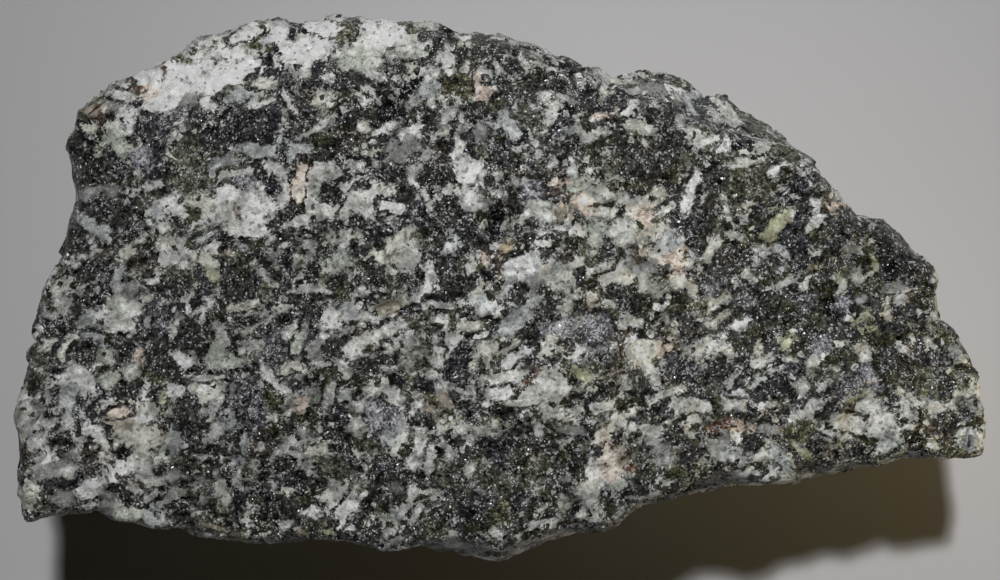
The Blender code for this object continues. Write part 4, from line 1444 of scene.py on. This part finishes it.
def add_floor():
    mesh = bpy.data.meshes.new("paper_floor")
    reach = FLOOR_REACH
    corners = [(-reach, -reach, 0), (reach, -reach, 0), (reach, reach, 0), (-reach, reach, 0)]
    mesh.from_pydata(corners, [], [(0, 1, 2, 3)])
    floor = bpy.data.objects.new("paper_floor", mesh)
    bpy.context.scene.collection.objects.link(floor)
    material = bpy.data.materials.new("pale_paper")
    material.use_nodes = True
    shader = material.node_tree.nodes["Principled BSDF"]
    shader.inputs["Base Color"].default_value = PAPER_COLOUR
    shader.inputs["Roughness"].default_value = PAPER_ROUGHNESS
    shader.inputs["Specular IOR Level"].default_value = PAPER_SHINE
    mesh.materials.append(material)


def aim(lamp, target):
    """Turn a lamp so that it shines at the target."""
    x, y, z = np.array(target) - np.array(lamp.location)
    lamp.rotation_euler = (math.atan2(math.hypot(x, y), -z), 0.0, math.atan2(-x, y))


def place_lamp(data, place, target):
    lamp = bpy.data.objects.new(data.name, data)
    lamp.location = place
    aim(lamp, target)
    bpy.context.scene.collection.objects.link(lamp)


def add_key():
    """Even light from above the far long side, and a beam in it a little right of the middle."""
    rise = math.radians(KEY_RISE)
    place = (0.0, KEY_DISTANCE * math.cos(rise), KEY_DISTANCE * math.sin(rise))
    even = bpy.data.lights.new("key", "SUN")
    even.energy = EVEN_STRENGTH
    even.angle = math.radians(EVEN_SPREAD)
    beam = bpy.data.lights.new("key_beam", "SPOT")
    beam.energy = BEAM_POWER
    beam.shadow_soft_size = BEAM_RADIUS
    beam.spot_size = math.radians(BEAM_CONE)
    beam.spot_blend = 1.0
    for data, target in ((even, EVEN_TARGET), (beam, BEAM_TARGET)):
        data.color = KEY_COLOUR
        place_lamp(data, place, target)


def add_fill():
    """A small square lamp low on the right."""
    data = bpy.data.lights.new("fill_right", "AREA")
    data.shape = "SQUARE"
    data.size = FILL_SIZE
    data.energy = FILL_POWER
    data.color = FILL_COLOUR
    data.spread = math.radians(FILL_SPREAD)
    turn, rise = math.radians(FILL_TURN), math.radians(FILL_RISE)
    flat = FILL_DISTANCE * math.cos(rise)
    place = (flat * math.sin(turn), flat * math.cos(turn), FILL_DISTANCE * math.sin(rise))
    place_lamp(data, place, FILL_TARGET)


def add_lights():
    add_key()
    add_fill()
    world = bpy.data.worlds.new("room")
    world.use_nodes = True
    background = world.node_tree.nodes["Background"]
    background.inputs["Color"].default_value = ROOM_COLOUR
    background.inputs["Strength"].default_value = ROOM_STRENGTH
    bpy.context.scene.world = world


def add_camera():
    data = bpy.data.cameras.new("eye")
    data.sensor_width = SENSOR_WIDTH
    data.lens = SENSOR_WIDTH * SEEN_FROM / (FRAME_WIDTH_STEPS * READ_STEP)
    camera = bpy.data.objects.new("eye", data)
    camera.location = tuple(np.array([EYE_X, EYE_Y, SEEN_FROM + RIM_HEIGHT]) * METRES_PER_MM)
    data.clip_start, data.clip_end = SEES_FROM, SEES_TO
    bpy.context.scene.collection.objects.link(camera)
    bpy.context.scene.camera = camera


def main():
    add_camera()
    add_stone()
    add_floor()
    add_lights()
    bpy.context.scene.view_settings.view_transform = "Standard"
    bpy.context.scene.cycles.use_denoising = True


main()
